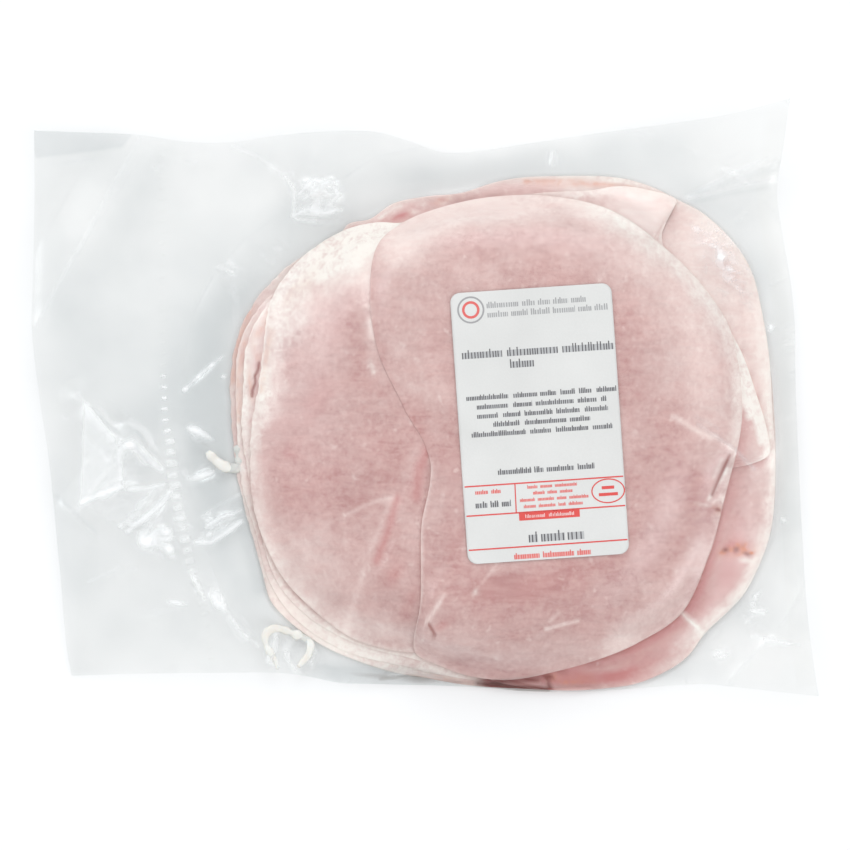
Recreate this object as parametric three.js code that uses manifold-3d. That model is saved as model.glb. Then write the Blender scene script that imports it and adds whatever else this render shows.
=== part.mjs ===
// A stack of ham slices, shut in a clear flat pouch with a label on its film.
// Millimetres, +Z up. X runs along the pouch, from its open mouth flap to its end seam,
// Y runs across it, and the origin is under the middle of its box, on the table.
// The pouch is one closed solid: two films pressed together round the slices, and
// pulled down over them, so that each slice's edge shows through as a step.

import * as THREE from 'three';
import { mergeVertices } from 'three/addons/utils/BufferGeometryUtils.js';
import Module from 'manifold-3d';

// ---- driving dimensions ----------------------------------------------------------

const SLICE = 2.4;              // thickness of one slice
const FILM = 1.2;               // the two films together, with the air between them
const LABEL = { width: 57.3, height: 96.2, corner: 3.4, thick: 0.35, gap: 0.3, turn: 3.9, x: 40.6, y: -9.3 };

// the pouch's sides, each from corner to corner through the points where it bends
const POUCH_SIDES = [
  [[-139.8, 95.5], [-103.5, 94.1], [-80, 91], [-30, 95.4], [-14, 94.8], [6, 88], [18, 88.2],
    [60.7, 94.6], [108.9, 101.4], [130.3, 106.8]],
  [[130.3, 106.8], [126, 75], [131, 42], [132.8, 7], [135.3, -51], [140.7, -106.8]],
  [[140.7, -106.8], [99.2, -102.6], [60.7, -104.8], [21.8, -103.7], [-36, -99.4],
    [-74.6, -98.5], [-126.7, -99.8]],
  [[-126.7, -99.8], [-130.1, -70], [-134.7, -21.6], [-140.2, 24], [-139.8, 95.5]],
];

// the slices from the table up, each an uneven round laid a little off the one below;
// count is how many lie so close together that their edges read as one
const SLICES = [
  { count: 2, edge: [[-69.6, 6], [-65.5, 24], [-48, 46], [-24, 56], [30, 60], [80, 52], [114, 18],
    [124, -30], [118, -68], [88, -96], [40, -103], [2, -98], [-30, -89], [-54, -76], [-65, -44]] },
  { count: 2, edge: [[-66, 4], [-60, 26], [-44, 48], [-16, 58], [38, 64], [88, 58], [118, 20],
    [126, -26], [116, -62], [86, -92], [38, -100], [-4, -95], [-36, -85], [-56, -66], [-63, -34]] },
  { count: 2, edge: [[-63, 8], [-56, 30], [-40, 50], [-10, 60], [40, 62], [84, 52], [110, 16],
    [116, -30], [106, -64], [78, -88], [34, -96], [-6, -92], [-38, -80], [-55, -60], [-61, -26]] },
  { count: 1, edge: [[-24, 62], [-11, 70], [12, 74], [36, 78.5], [60, 79.4], [78, 77], [92, 70],
    [109, 57], [119, 38], [123, 16], [124, -22], [118, -58], [98, -84], [78, -98], [42, -104],
    [6, -100], [-20, -60], [-34, 0]] },
  { count: 1, edge: [[-10, 58], [30, 70], [60, 76], [90, 71], [85, 58], [98, 32], [111, 16],
    [119, -4], [122, -17], [110, -28], [92, -60], [50, -86], [0, -80], [-30, -30]] },
  { count: 1, edge: [[-61, 12], [-58, 34], [-44, 51], [-28, 60], [-6, 62], [36, 58], [70, 40],
    [88, 0], [84, -48], [50, -82], [-3, -91], [-24, -87], [-42, -76], [-56, -54], [-61.5, -24]] },
  { count: 1, edge: [[-10, 62], [12, 71], [37, 73], [66, 67], [91, 48], [108, 23], [112.5, -9],
    [106, -44], [90, -76], [66, -92], [34, -101], [10, -98], [-3, -91], [-1.5, -44], [1.5, -20],
    [-14, 6], [-19.5, 33], [-17, 54]] },
];

const PILE = new THREE.Vector2(28.5, -15);     // a point that every slice covers
const RIM_KEEP = 0.72;          // how much of its thickness a slice keeps at its edge
const CROWN = 28;               // how far in from its edge a slice reaches full thickness
const DRAPE = 8;                // half the run over which a slice bends across a hidden edge
const EDGE_RUN = 0.4;           // half the run of a step in the film at a slice's edge
const SEAM_ROOM = 2.5;          // least room between the slices and the pouch's edge
const SKIRT = { run: 17, keep: 0.8 };          // the film's fall from the pile to the margin
const BASE = { inset: 6, lift: 24 };           // the flat the pack rests on, and its upturn

// the margin's height over the table, its slow waves, its creases and its lifted corners
const MARGIN = { height: 4.2, wave: 1.3, waveX: 27, waveY: 34 };
const CREASES = [
  { from: [-102, 93], to: [-139, 26], height: 2.6, reach: 13 },
  { from: [-124, 0], to: [-107, -17], height: 2.4, reach: 8 },
  { from: [-107, -17], to: [-124, -40], height: 2.2, reach: 8 },
  { from: [-107, -17], to: [-80, -30], height: 1.6, reach: 8 },
  { from: [93, 72], to: [129, 85], height: 1.8, reach: 8 },
  { from: [-48, 80], to: [-28, 64], height: 2.0, reach: 9 },
  { from: [-60, -76], to: [-46, -98], height: 1.8, reach: 7 },
];
const CORNERS = [
  { at: [-139.8, 95.5], height: 3.5, reach: 42 },
  { at: [130.3, 106.8], height: 6.0, reach: 50 },
  { at: [140.7, -106.8], height: 2.5, reach: 45 },
  { at: [-126.7, -99.8], height: -1.6, reach: 40 },
];

// the pressed seal that shuts the mouth: short ribs in a row across the pouch
const SEAL = {
  line: [[-94, 92.6], [-94, 40], [-93.8, 5], [-90, -29.5], [-84.3, -60.2], [-80.3, -97.6]],
  pitch: 3.9, width: 2.7, length: 1.3, height: 0.35, root: 0.6,
};

// how finely the solid is cut into facets
const OUTLINE_STEP = 7.6;       // along the pouch's edge
const CORE = { rings: [20, 42], reach: 50 };   // rings inside the smallest slice edge
const MARGIN_RINGS = [0.12, 0.26, 0.42, 0.58, 0.76];
const LEAST_RING = 0.3;
const ROUNDING = 1e-6;          // so that a line through a corner still meets it
const ABOVE = 100;              // a height well above the pack

// ---- curves ----------------------------------------------------------------------

const clamp01 = (value) => Math.min(1, Math.max(0, value));
const smooth = (value) => clamp01(value) ** 2 * (3 - 2 * clamp01(value));

function curveThrough(points, closed) {
  const knots = points.map(([x, y]) => new THREE.Vector3(x, y, 0));
  return new THREE.CatmullRomCurve3(knots, closed, 'centripetal');
}

// distance from the pile's middle to a closed line, looking along an angle
function reachOf(line, angle) {
  const direction = new THREE.Vector2(Math.cos(angle), Math.sin(angle));
  let reach = 0;
  line.forEach((start, i) => {
    const end = line[(i + 1) % line.length];
    const sx = start.x - PILE.x;
    const sy = start.y - PILE.y;
    const ex = end.x - start.x;
    const ey = end.y - start.y;
    const cross = direction.x * ey - direction.y * ex;
    if (Math.abs(cross) < 1e-9) return;
    const along = (sx * ey - sy * ex) / cross;
    const part = (sx * direction.y - sy * direction.x) / cross;
    if (part > -ROUNDING && part < 1 + ROUNDING && along > reach) reach = along;
  });
  return reach;
}

// the pouch's outline, with its corners kept sharp
function pouchOutline(step) {
  const outline = [];
  for (const side of POUCH_SIDES) {
    const curve = curveThrough(side, false);
    const count = Math.round(curve.getLength() / step);
    outline.push(...curve.getSpacedPoints(count).slice(0, -1));
  }
  return outline;
}

const outline = pouchOutline(OUTLINE_STEP);
const sliceLines = SLICES.map(({ edge }) => curveThrough(edge, true).getPoints(180).slice(0, -1));

// every slice's reach along an angle, kept clear of the pouch's own edge
function sliceReaches(angle) {
  const limit = reachOf(outline, angle) - SEAM_ROOM;
  return sliceLines.map((line) => Math.min(limit, reachOf(line, angle)));
}

// ---- heights ---------------------------------------------------------------------

function distanceToCrease({ from, to }, x, y) {
  const dx = to[0] - from[0];
  const dy = to[1] - from[1];
  const part = clamp01(((x - from[0]) * dx + (y - from[1]) * dy) / (dx * dx + dy * dy));
  return Math.hypot(x - from[0] - part * dx, y - from[1] - part * dy);
}

// the middle of the two films, away from the slices
function marginHeight(x, y) {
  let height = MARGIN.height;
  height += MARGIN.wave * Math.sin(x / MARGIN.waveX) * Math.cos(y / MARGIN.waveY);
  for (const crease of CREASES) {
    height += crease.height * clamp01(1 - distanceToCrease(crease, x, y) / crease.reach);
  }
  for (const corner of CORNERS) {
    const away = Math.hypot(x - corner.at[0], y - corner.at[1]);
    height += corner.height * clamp01(1 - away / corner.reach) ** 2;
  }
  return height;
}

// one slice's share of the pile, at a distance inside its edge
function sliceRise(slice, inside, hidden) {
  const thickness = slice.count * SLICE * (RIM_KEEP + (1 - RIM_KEEP) * smooth(inside / CROWN));
  if (hidden) return thickness * smooth((inside + DRAPE) / (2 * DRAPE));
  return inside > 0 ? thickness : 0;
}

function pileHeight(reaches, radius) {
  return SLICES.reduce((height, slice, i) => {
    const hidden = reaches.slice(i + 1).some((above) => above > reaches[i]);
    return height + sliceRise(slice, reaches[i] - radius, hidden);
  }, 0);
}

function underside(x, y, radius, outer) {
  const lifted = smooth((radius - outer + BASE.inset) / BASE.lift);
  return lifted * (marginHeight(x, y) - FILM / 2);
}

function place(angle, radius) {
  return [PILE.x + radius * Math.cos(angle), PILE.y + radius * Math.sin(angle)];
}

// the film's top: over the slices, down the skirt, or on the margin
function topside(angle, radius, reaches, edge) {
  const [x, y] = place(angle, radius);
  const outer = Math.max(...reaches);
  const below = underside(x, y, radius, outer);
  const edgeHeight = pileHeight(reaches, outer - EDGE_RUN);
  const run = Math.min(SKIRT.run, edge - outer);
  const fall = clamp01((radius - outer) / run);
  const held = SKIRT.keep * edgeHeight * (1 - fall) ** 2;
  return below + FILM + Math.max(pileHeight(reaches, radius), radius > outer ? held : 0);
}

// ---- the pouch -------------------------------------------------------------------

// the radii of one spoke's rings, from the middle of the pile to the pouch's edge
function spokeRadii(reaches, edge) {
  const sorted = [...reaches].sort((a, b) => a - b);
  const outer = sorted[sorted.length - 1];
  const radii = CORE.rings.map((core) => core * Math.min(1, sorted[0] / CORE.reach));
  for (const reach of sorted) radii.push(reach - EDGE_RUN, reach + EDGE_RUN);
  for (const part of MARGIN_RINGS) radii.push(outer + EDGE_RUN + part * (edge - outer - EDGE_RUN));
  radii.push(edge);
  for (let i = 1; i < radii.length; i += 1) radii[i] = Math.max(radii[i], radii[i - 1] + LEAST_RING);
  const over = radii[radii.length - 1] - edge;
  return over > 0 ? radii.map((radius) => radius * (1 - over / radii[radii.length - 1])) : radii;
}

function makePouchShell() {
  const spokes = outline.map((point) => {
    const angle = Math.atan2(point.y - PILE.y, point.x - PILE.x);
    const reaches = sliceReaches(angle);
    const edge = Math.hypot(point.x - PILE.x, point.y - PILE.y);
    return { angle, reaches, edge, radii: spokeRadii(reaches, edge) };
  });
  const rings = spokes[0].radii.length;
  const lowRings = MARGIN_RINGS.length + 2;
  const positions = [];
  const faces = [];

  const ring = (radiusOf, height) => spokes.map((spoke) => {
    const radius = radiusOf(spoke);
    const [x, y] = place(spoke.angle, radius);
    positions.push(x, y, height(spoke, radius, x, y));
    return positions.length / 3 - 1;
  });
  const numbered = (index) => (spoke) => spoke.radii[index];
  const flatEdge = (spoke) => Math.max(...spoke.reaches) - BASE.inset;
  const over = (spoke, radius) => topside(spoke.angle, radius, spoke.reaches, spoke.edge);
  const under = (spoke, radius, x, y) => underside(x, y, radius, Math.max(...spoke.reaches));

  const joinRings = (outerRing, innerRing) => outerRing.forEach((a, i) => {
    const next = (i + 1) % outerRing.length;
    faces.push(a, innerRing[i], innerRing[next], a, innerRing[next], outerRing[next]);
  });
  const middle = (height) => {
    positions.push(PILE.x, PILE.y, height);
    return positions.length / 3 - 1;
  };
  const fan = (apex, around, flip) => around.forEach((a, i) => {
    const b = around[(i + 1) % around.length];
    faces.push(...(flip ? [apex, a, b] : [apex, b, a]));
  });

  const tops = Array.from({ length: rings }, (_, i) => ring(numbered(i), over));
  const lows = Array.from({ length: lowRings }, (_, i) => ring(numbered(rings - lowRings + i), under));
  const flat = ring(flatEdge, () => 0);
  fan(middle(over(spokes[0], 0)), tops[0], false);
  for (let i = 1; i < rings; i += 1) joinRings(tops[i], tops[i - 1]);
  joinRings(lows[lowRings - 1], tops[rings - 1]);
  for (let i = 1; i < lowRings; i += 1) joinRings(lows[i - 1], lows[i]);
  joinRings(flat, lows[0]);
  fan(middle(0), flat, true);

  const shell = new THREE.BufferGeometry();
  shell.setAttribute('position', new THREE.Float32BufferAttribute(positions, 3));
  shell.setIndex(faces);
  return shell;
}

// the height of the shell's own facets under a point
function heightOn(shell, point) {
  const above = new THREE.Vector3(point.x, point.y, ABOVE);
  const caster = new THREE.Raycaster(above, new THREE.Vector3(0, 0, -1));
  return caster.intersectObject(new THREE.Mesh(shell))[0].point.z;
}

// one pressed rib, standing on the film with its root sunk into it
function makeRib(shell, at, turn) {
  const height = SEAL.height + SEAL.root;
  const rib = new THREE.BoxGeometry(SEAL.width, SEAL.length, height);
  rib.rotateZ(turn);
  rib.translate(at.x, at.y, heightOn(shell, at) + SEAL.height - height / 2);
  return rib;
}

function makeSealRibs(shell) {
  const line = curveThrough(SEAL.line, false);
  const count = Math.floor(line.getLength() / SEAL.pitch);
  return Array.from({ length: count }, (_, i) => {
    const part = (i + 0.5) / count;
    const along = line.getTangentAt(part);
    return makeRib(shell, line.getPointAt(part), Math.atan2(along.y, along.x) + Math.PI / 2);
  });
}

// ---- the label -------------------------------------------------------------------

function makeLabelBlock() {
  const { width, height, corner } = LABEL;
  const shape = new THREE.Shape();
  const x = width / 2 - corner;
  const y = height / 2 - corner;
  shape.absarc(x, y, corner, 0, Math.PI / 2);
  shape.absarc(-x, y, corner, Math.PI / 2, Math.PI);
  shape.absarc(-x, -y, corner, Math.PI, 1.5 * Math.PI);
  shape.absarc(x, -y, corner, 1.5 * Math.PI, 2 * Math.PI);
  const block = new THREE.ExtrudeGeometry(shape, { depth: ABOVE, bevelEnabled: false, curveSegments: 5 });
  block.rotateZ(THREE.MathUtils.degToRad(LABEL.turn));
  block.translate(LABEL.x, LABEL.y, FILM);
  return block;
}

// ---- solids and the finished group -----------------------------------------------

const wasm = await Module();
wasm.setup();

function solidOf(geometry) {
  const bare = geometry.clone();
  bare.deleteAttribute('normal');
  bare.deleteAttribute('uv');
  const merged = mergeVertices(bare, 1e-4);
  return new wasm.Manifold(new wasm.Mesh({
    numProp: 3,
    vertProperties: new Float32Array(merged.attributes.position.array),
    triVerts: new Uint32Array(merged.index.array),
  }));
}

function geometryOf(solid) {
  const mesh = solid.getMesh();
  const geometry = new THREE.BufferGeometry();
  geometry.setAttribute('position', new THREE.BufferAttribute(mesh.vertProperties, 3));
  geometry.setIndex(new THREE.BufferAttribute(mesh.triVerts, 1));
  geometry.computeVertexNormals();
  return geometry;
}

function meshOf(name, solid, colour, roughness) {
  const material = new THREE.MeshStandardMaterial({ color: colour, roughness, metalness: 0 });
  const mesh = new THREE.Mesh(geometryOf(solid), material);
  mesh.name = name;
  return mesh;
}

const shellGeometry = makePouchShell();
const pouchShell = solidOf(shellGeometry);
const pouch = makeSealRibs(shellGeometry).reduce((solid, rib) => solid.add(solidOf(rib)), pouchShell);

// the label is the pouch's own top, lifted by the gap and cut to the label's outline
const labelSkin = pouchShell.translate([0, 0, LABEL.gap + LABEL.thick])
  .subtract(pouchShell.translate([0, 0, LABEL.gap]));
const label = solidOf(makeLabelBlock()).intersect(labelSkin);

const pack = new THREE.Group();
pack.add(meshOf('pouch', pouch, 0xdab4b0, 0.25));
pack.add(meshOf('label', label, 0xf2f3f2, 0.5));

export default pack;
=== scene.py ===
# Ten slices of gammon ham, laid unevenly on each other in a clear flat pouch.
# The pouch is one sheet of film over the pile and one under it, pressed together round
# it, with a ribbed seal across the mouth flap, an end seam, and a scale label on top.
# Sizes are in millimetres and become metres in put_mesh. +X runs to the end seam, +Y
# across the pouch, and the table is z = 0.

import math

import bpy
import numpy as np
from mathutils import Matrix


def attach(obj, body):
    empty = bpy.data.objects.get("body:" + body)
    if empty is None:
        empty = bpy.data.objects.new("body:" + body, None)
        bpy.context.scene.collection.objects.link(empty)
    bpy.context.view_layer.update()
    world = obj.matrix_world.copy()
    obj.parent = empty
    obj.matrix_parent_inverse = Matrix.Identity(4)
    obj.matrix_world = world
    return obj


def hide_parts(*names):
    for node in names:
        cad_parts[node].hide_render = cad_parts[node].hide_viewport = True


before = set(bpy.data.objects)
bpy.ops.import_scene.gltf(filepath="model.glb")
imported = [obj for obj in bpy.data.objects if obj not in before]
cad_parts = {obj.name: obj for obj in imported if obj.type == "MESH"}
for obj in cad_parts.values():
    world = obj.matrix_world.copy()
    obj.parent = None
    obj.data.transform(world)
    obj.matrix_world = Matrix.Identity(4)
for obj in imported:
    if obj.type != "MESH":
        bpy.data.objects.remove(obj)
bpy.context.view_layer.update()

MM = 0.001

# ---- driving dimensions ------------------------------------------------------------

SLICE = 2.4                 # thickness of one slice
RIM_KEEP = 0.72             # share of it left at a slice's edge
CROWN = 28                  # how far in from its edge a slice is full thickness
RIM_ROUND = 0.75            # how far a slice's rounded edge reaches in
BRIDGE = 4.5                # how far a slice spans a step under it before it lies down
PILE = np.array([28.5, -15.0])      # a point that every slice covers
BASE_INSET, BASE_LIFT = 6, 24       # the flat under the pile, and its upturn

POUCH_SIDES = {
    "top": [(-139.8, 95.5), (-103.5, 94.1), (-84, 91.5), (-69, 91.5), (-51.5, 94), (-32, 95.4), (-17, 95),
            (-5, 91.6), (5.4, 88), (16, 88), (37.5, 91.2), (60.7, 94.6), (89.6, 98.4), (108.9, 101.4),
            (130.3, 106.8)],
    "right": [(130.3, 106.8), (128.5, 92), (126, 75), (128.2, 57.5), (131, 42), (132.5, 26.6), (132.8, 7.3),
              (133.9, -21.6), (135.3, -51), (137.1, -79.4), (140.7, -106.8)],
    "bottom": [(-126.7, -99.8), (-103.5, -98.9), (-74.6, -98.5), (-50, -98.6), (-42, -99.8), (-31.4, -102),
               (-18, -102.6), (7.5, -103.3), (22.8, -104.1), (36, -105.2), (60.7, -105.2), (80, -103.9),
               (99.2, -102.6), (118.5, -104.4), (140.7, -106.8)],
    "left": [(-139.8, 95.5), (-139.8, 74.8), (-140.2, 45.9), (-140.5, 22.7), (-137.6, -2.3), (-134.7, -21.6),
             (-132.4, -44.8), (-130.1, -69.8), (-128.5, -89.4), (-126.7, -99.8)],
}

# ---- fields over the table: heights and masks on a grid of square cells ----------------

CELL = 0.5
X_LINE = np.arange(-147, 147.01, CELL)
Y_LINE = np.arange(-114, 114.01, CELL)
X, Y = np.meshgrid(X_LINE, Y_LINE)


def smooth(value):
    value = np.clip(value, 0, 1)
    return value * value * (3 - 2 * value)


def read(field, x, y):
    """A field's value at points, straight between its cells."""
    column = np.clip((x - X_LINE[0]) / CELL, 0, len(X_LINE) - 1.001)
    row = np.clip((y - Y_LINE[0]) / CELL, 0, len(Y_LINE) - 1.001)
    i, j = column.astype(int), row.astype(int)
    s, t = column - i, row - j
    low = field[j, i] * (1 - s) + field[j, i + 1] * s
    high = field[j + 1, i] * (1 - s) + field[j + 1, i + 1] * s
    return low * (1 - t) + high * t


def blur(field, sigma):
    reach = int(math.ceil(2.5 * sigma / CELL))
    weights = np.exp(-0.5 * (np.arange(-reach, reach + 1) * CELL / sigma) ** 2)
    weights /= weights.sum()
    rows, columns = field.shape
    wide = np.pad(field, reach, mode="edge")
    across = sum(w * wide[:, k:k + columns] for k, w in enumerate(weights))
    return sum(w * across[k:k + rows] for k, w in enumerate(weights))


def swell_up(field, reach):
    """Each cell takes the highest value within a square around it."""
    steps = int(round(reach / CELL))
    for axis in (0, 1):
        field = np.max([np.roll(field, k, axis) for k in range(-steps, steps + 1)], axis=0)
    return field


def blur_within(field, mask, sigma):
    share = blur(mask.astype(float), sigma)
    return blur(field * mask, sigma) / np.maximum(share, 1e-4)


def ripple(x, y, seed, length, count=7):
    """An even, random swell of height 1 or so, whose waves are about that long."""
    draw = np.random.default_rng(seed)
    total = np.zeros_like(x, dtype=float)
    for _ in range(count):
        turn, phase = draw.uniform(0, 2 * math.pi, 2)
        wave = 2 * math.pi / (length * draw.uniform(0.6, 1.6))
        total += np.sin((x * math.cos(turn) + y * math.sin(turn)) * wave + phase)
    return total / math.sqrt(count)


def patch(x, y, at, size, turn=0.0):
    """A soft oval spot: 1 at its middle, fading to nothing at about its size."""
    c, s = math.cos(math.radians(turn)), math.sin(math.radians(turn))
    along = ((x - at[0]) * c + (y - at[1]) * s) / size[0]
    beside = ((y - at[1]) * c - (x - at[0]) * s) / size[1]
    return np.exp(-1.6 * (along ** 2 + beside ** 2))


# ---- curves ----------------------------------------------------------------------------

def curve_through(points, closed=False, steps=14):
    """A centripetal Catmull-Rom curve through the points, as many short straights."""
    points = np.array(points, float)
    if closed:
        knots = np.vstack([points[-1], points, points[:2]])
    else:
        knots = np.vstack([2 * points[0] - points[1], points, 2 * points[-1] - points[-2]])
    t = np.linspace(0, 1, steps, endpoint=False)[:, None]
    spans = []
    for p0, p1, p2, p3 in zip(knots, knots[1:], knots[2:], knots[3:]):
        d0, d1, d2 = (math.sqrt(np.linalg.norm(b - a)) for a, b in ((p0, p1), (p1, p2), (p2, p3)))
        m1 = ((p1 - p0) / d0 - (p2 - p0) / (d0 + d1) + (p2 - p1) / d1) * d1
        m2 = ((p2 - p1) / d1 - (p3 - p1) / (d1 + d2) + (p3 - p2) / d2) * d1
        spans.append((2 * t ** 3 - 3 * t ** 2 + 1) * p1 + (t ** 3 - 2 * t ** 2 + t) * m1
                     + (3 * t ** 2 - 2 * t ** 3) * p2 + (t ** 3 - t ** 2) * m2)
    if not closed:
        spans.append(points[-1:])
    return np.vstack(spans)


def along_curve(line, places):
    """Points on a line, evenly spaced or at given shares of it, and its directions there."""
    steps = np.linalg.norm(np.diff(line, axis=0), axis=1)
    run = np.concatenate([[0], np.cumsum(steps)])
    at = run[-1] * (np.linspace(0, 1, places) if np.isscalar(places) else places)
    points = np.stack([np.interp(at, run, line[:, k]) for k in range(line.shape[1])], axis=1)
    ways = np.gradient(points, axis=0)
    return points, ways / np.linalg.norm(ways, axis=1, keepdims=True)


def polar(x, y):
    return np.hypot(x - PILE[0], y - PILE[1]), np.arctan2(y - PILE[1], x - PILE[0])


def reach_at(line, angle):
    """How far a closed line lies from the pile's middle, along each angle."""
    radius, turn = polar(line[:, 0], line[:, 1])
    return np.interp(angle, turn, radius, period=2 * math.pi)


def ring_value(pairs, angle):
    """A value given at a few angles in degrees, for any angle."""
    turns, values = zip(*sorted(pairs.items()))
    return np.interp(np.degrees(angle) % 360, turns, values, period=360)


# ---- the slices ------------------------------------------------------------------------
# Each has its outline, the share of its thickness left at the edge (keep), the width of its
# fat rim and how white that is, each by angle round the pile, and its own spots of colour,
# by kind: (x, y, half length, half width, turn, amount) or (line, half width, amount).
# flush is how red a slice is beside the one above it. cast is a painted shadow: how dark a slice paints the
# slices under it along its edge. The darkest spots are mostly painted shade, in cracks, the tear and the recess
# at the bottom edge, and otherwise the brown cores of browned specks. Some pale spots are painted glare of the
# film over the meat, and some are painted light on slopes that fall away.

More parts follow.
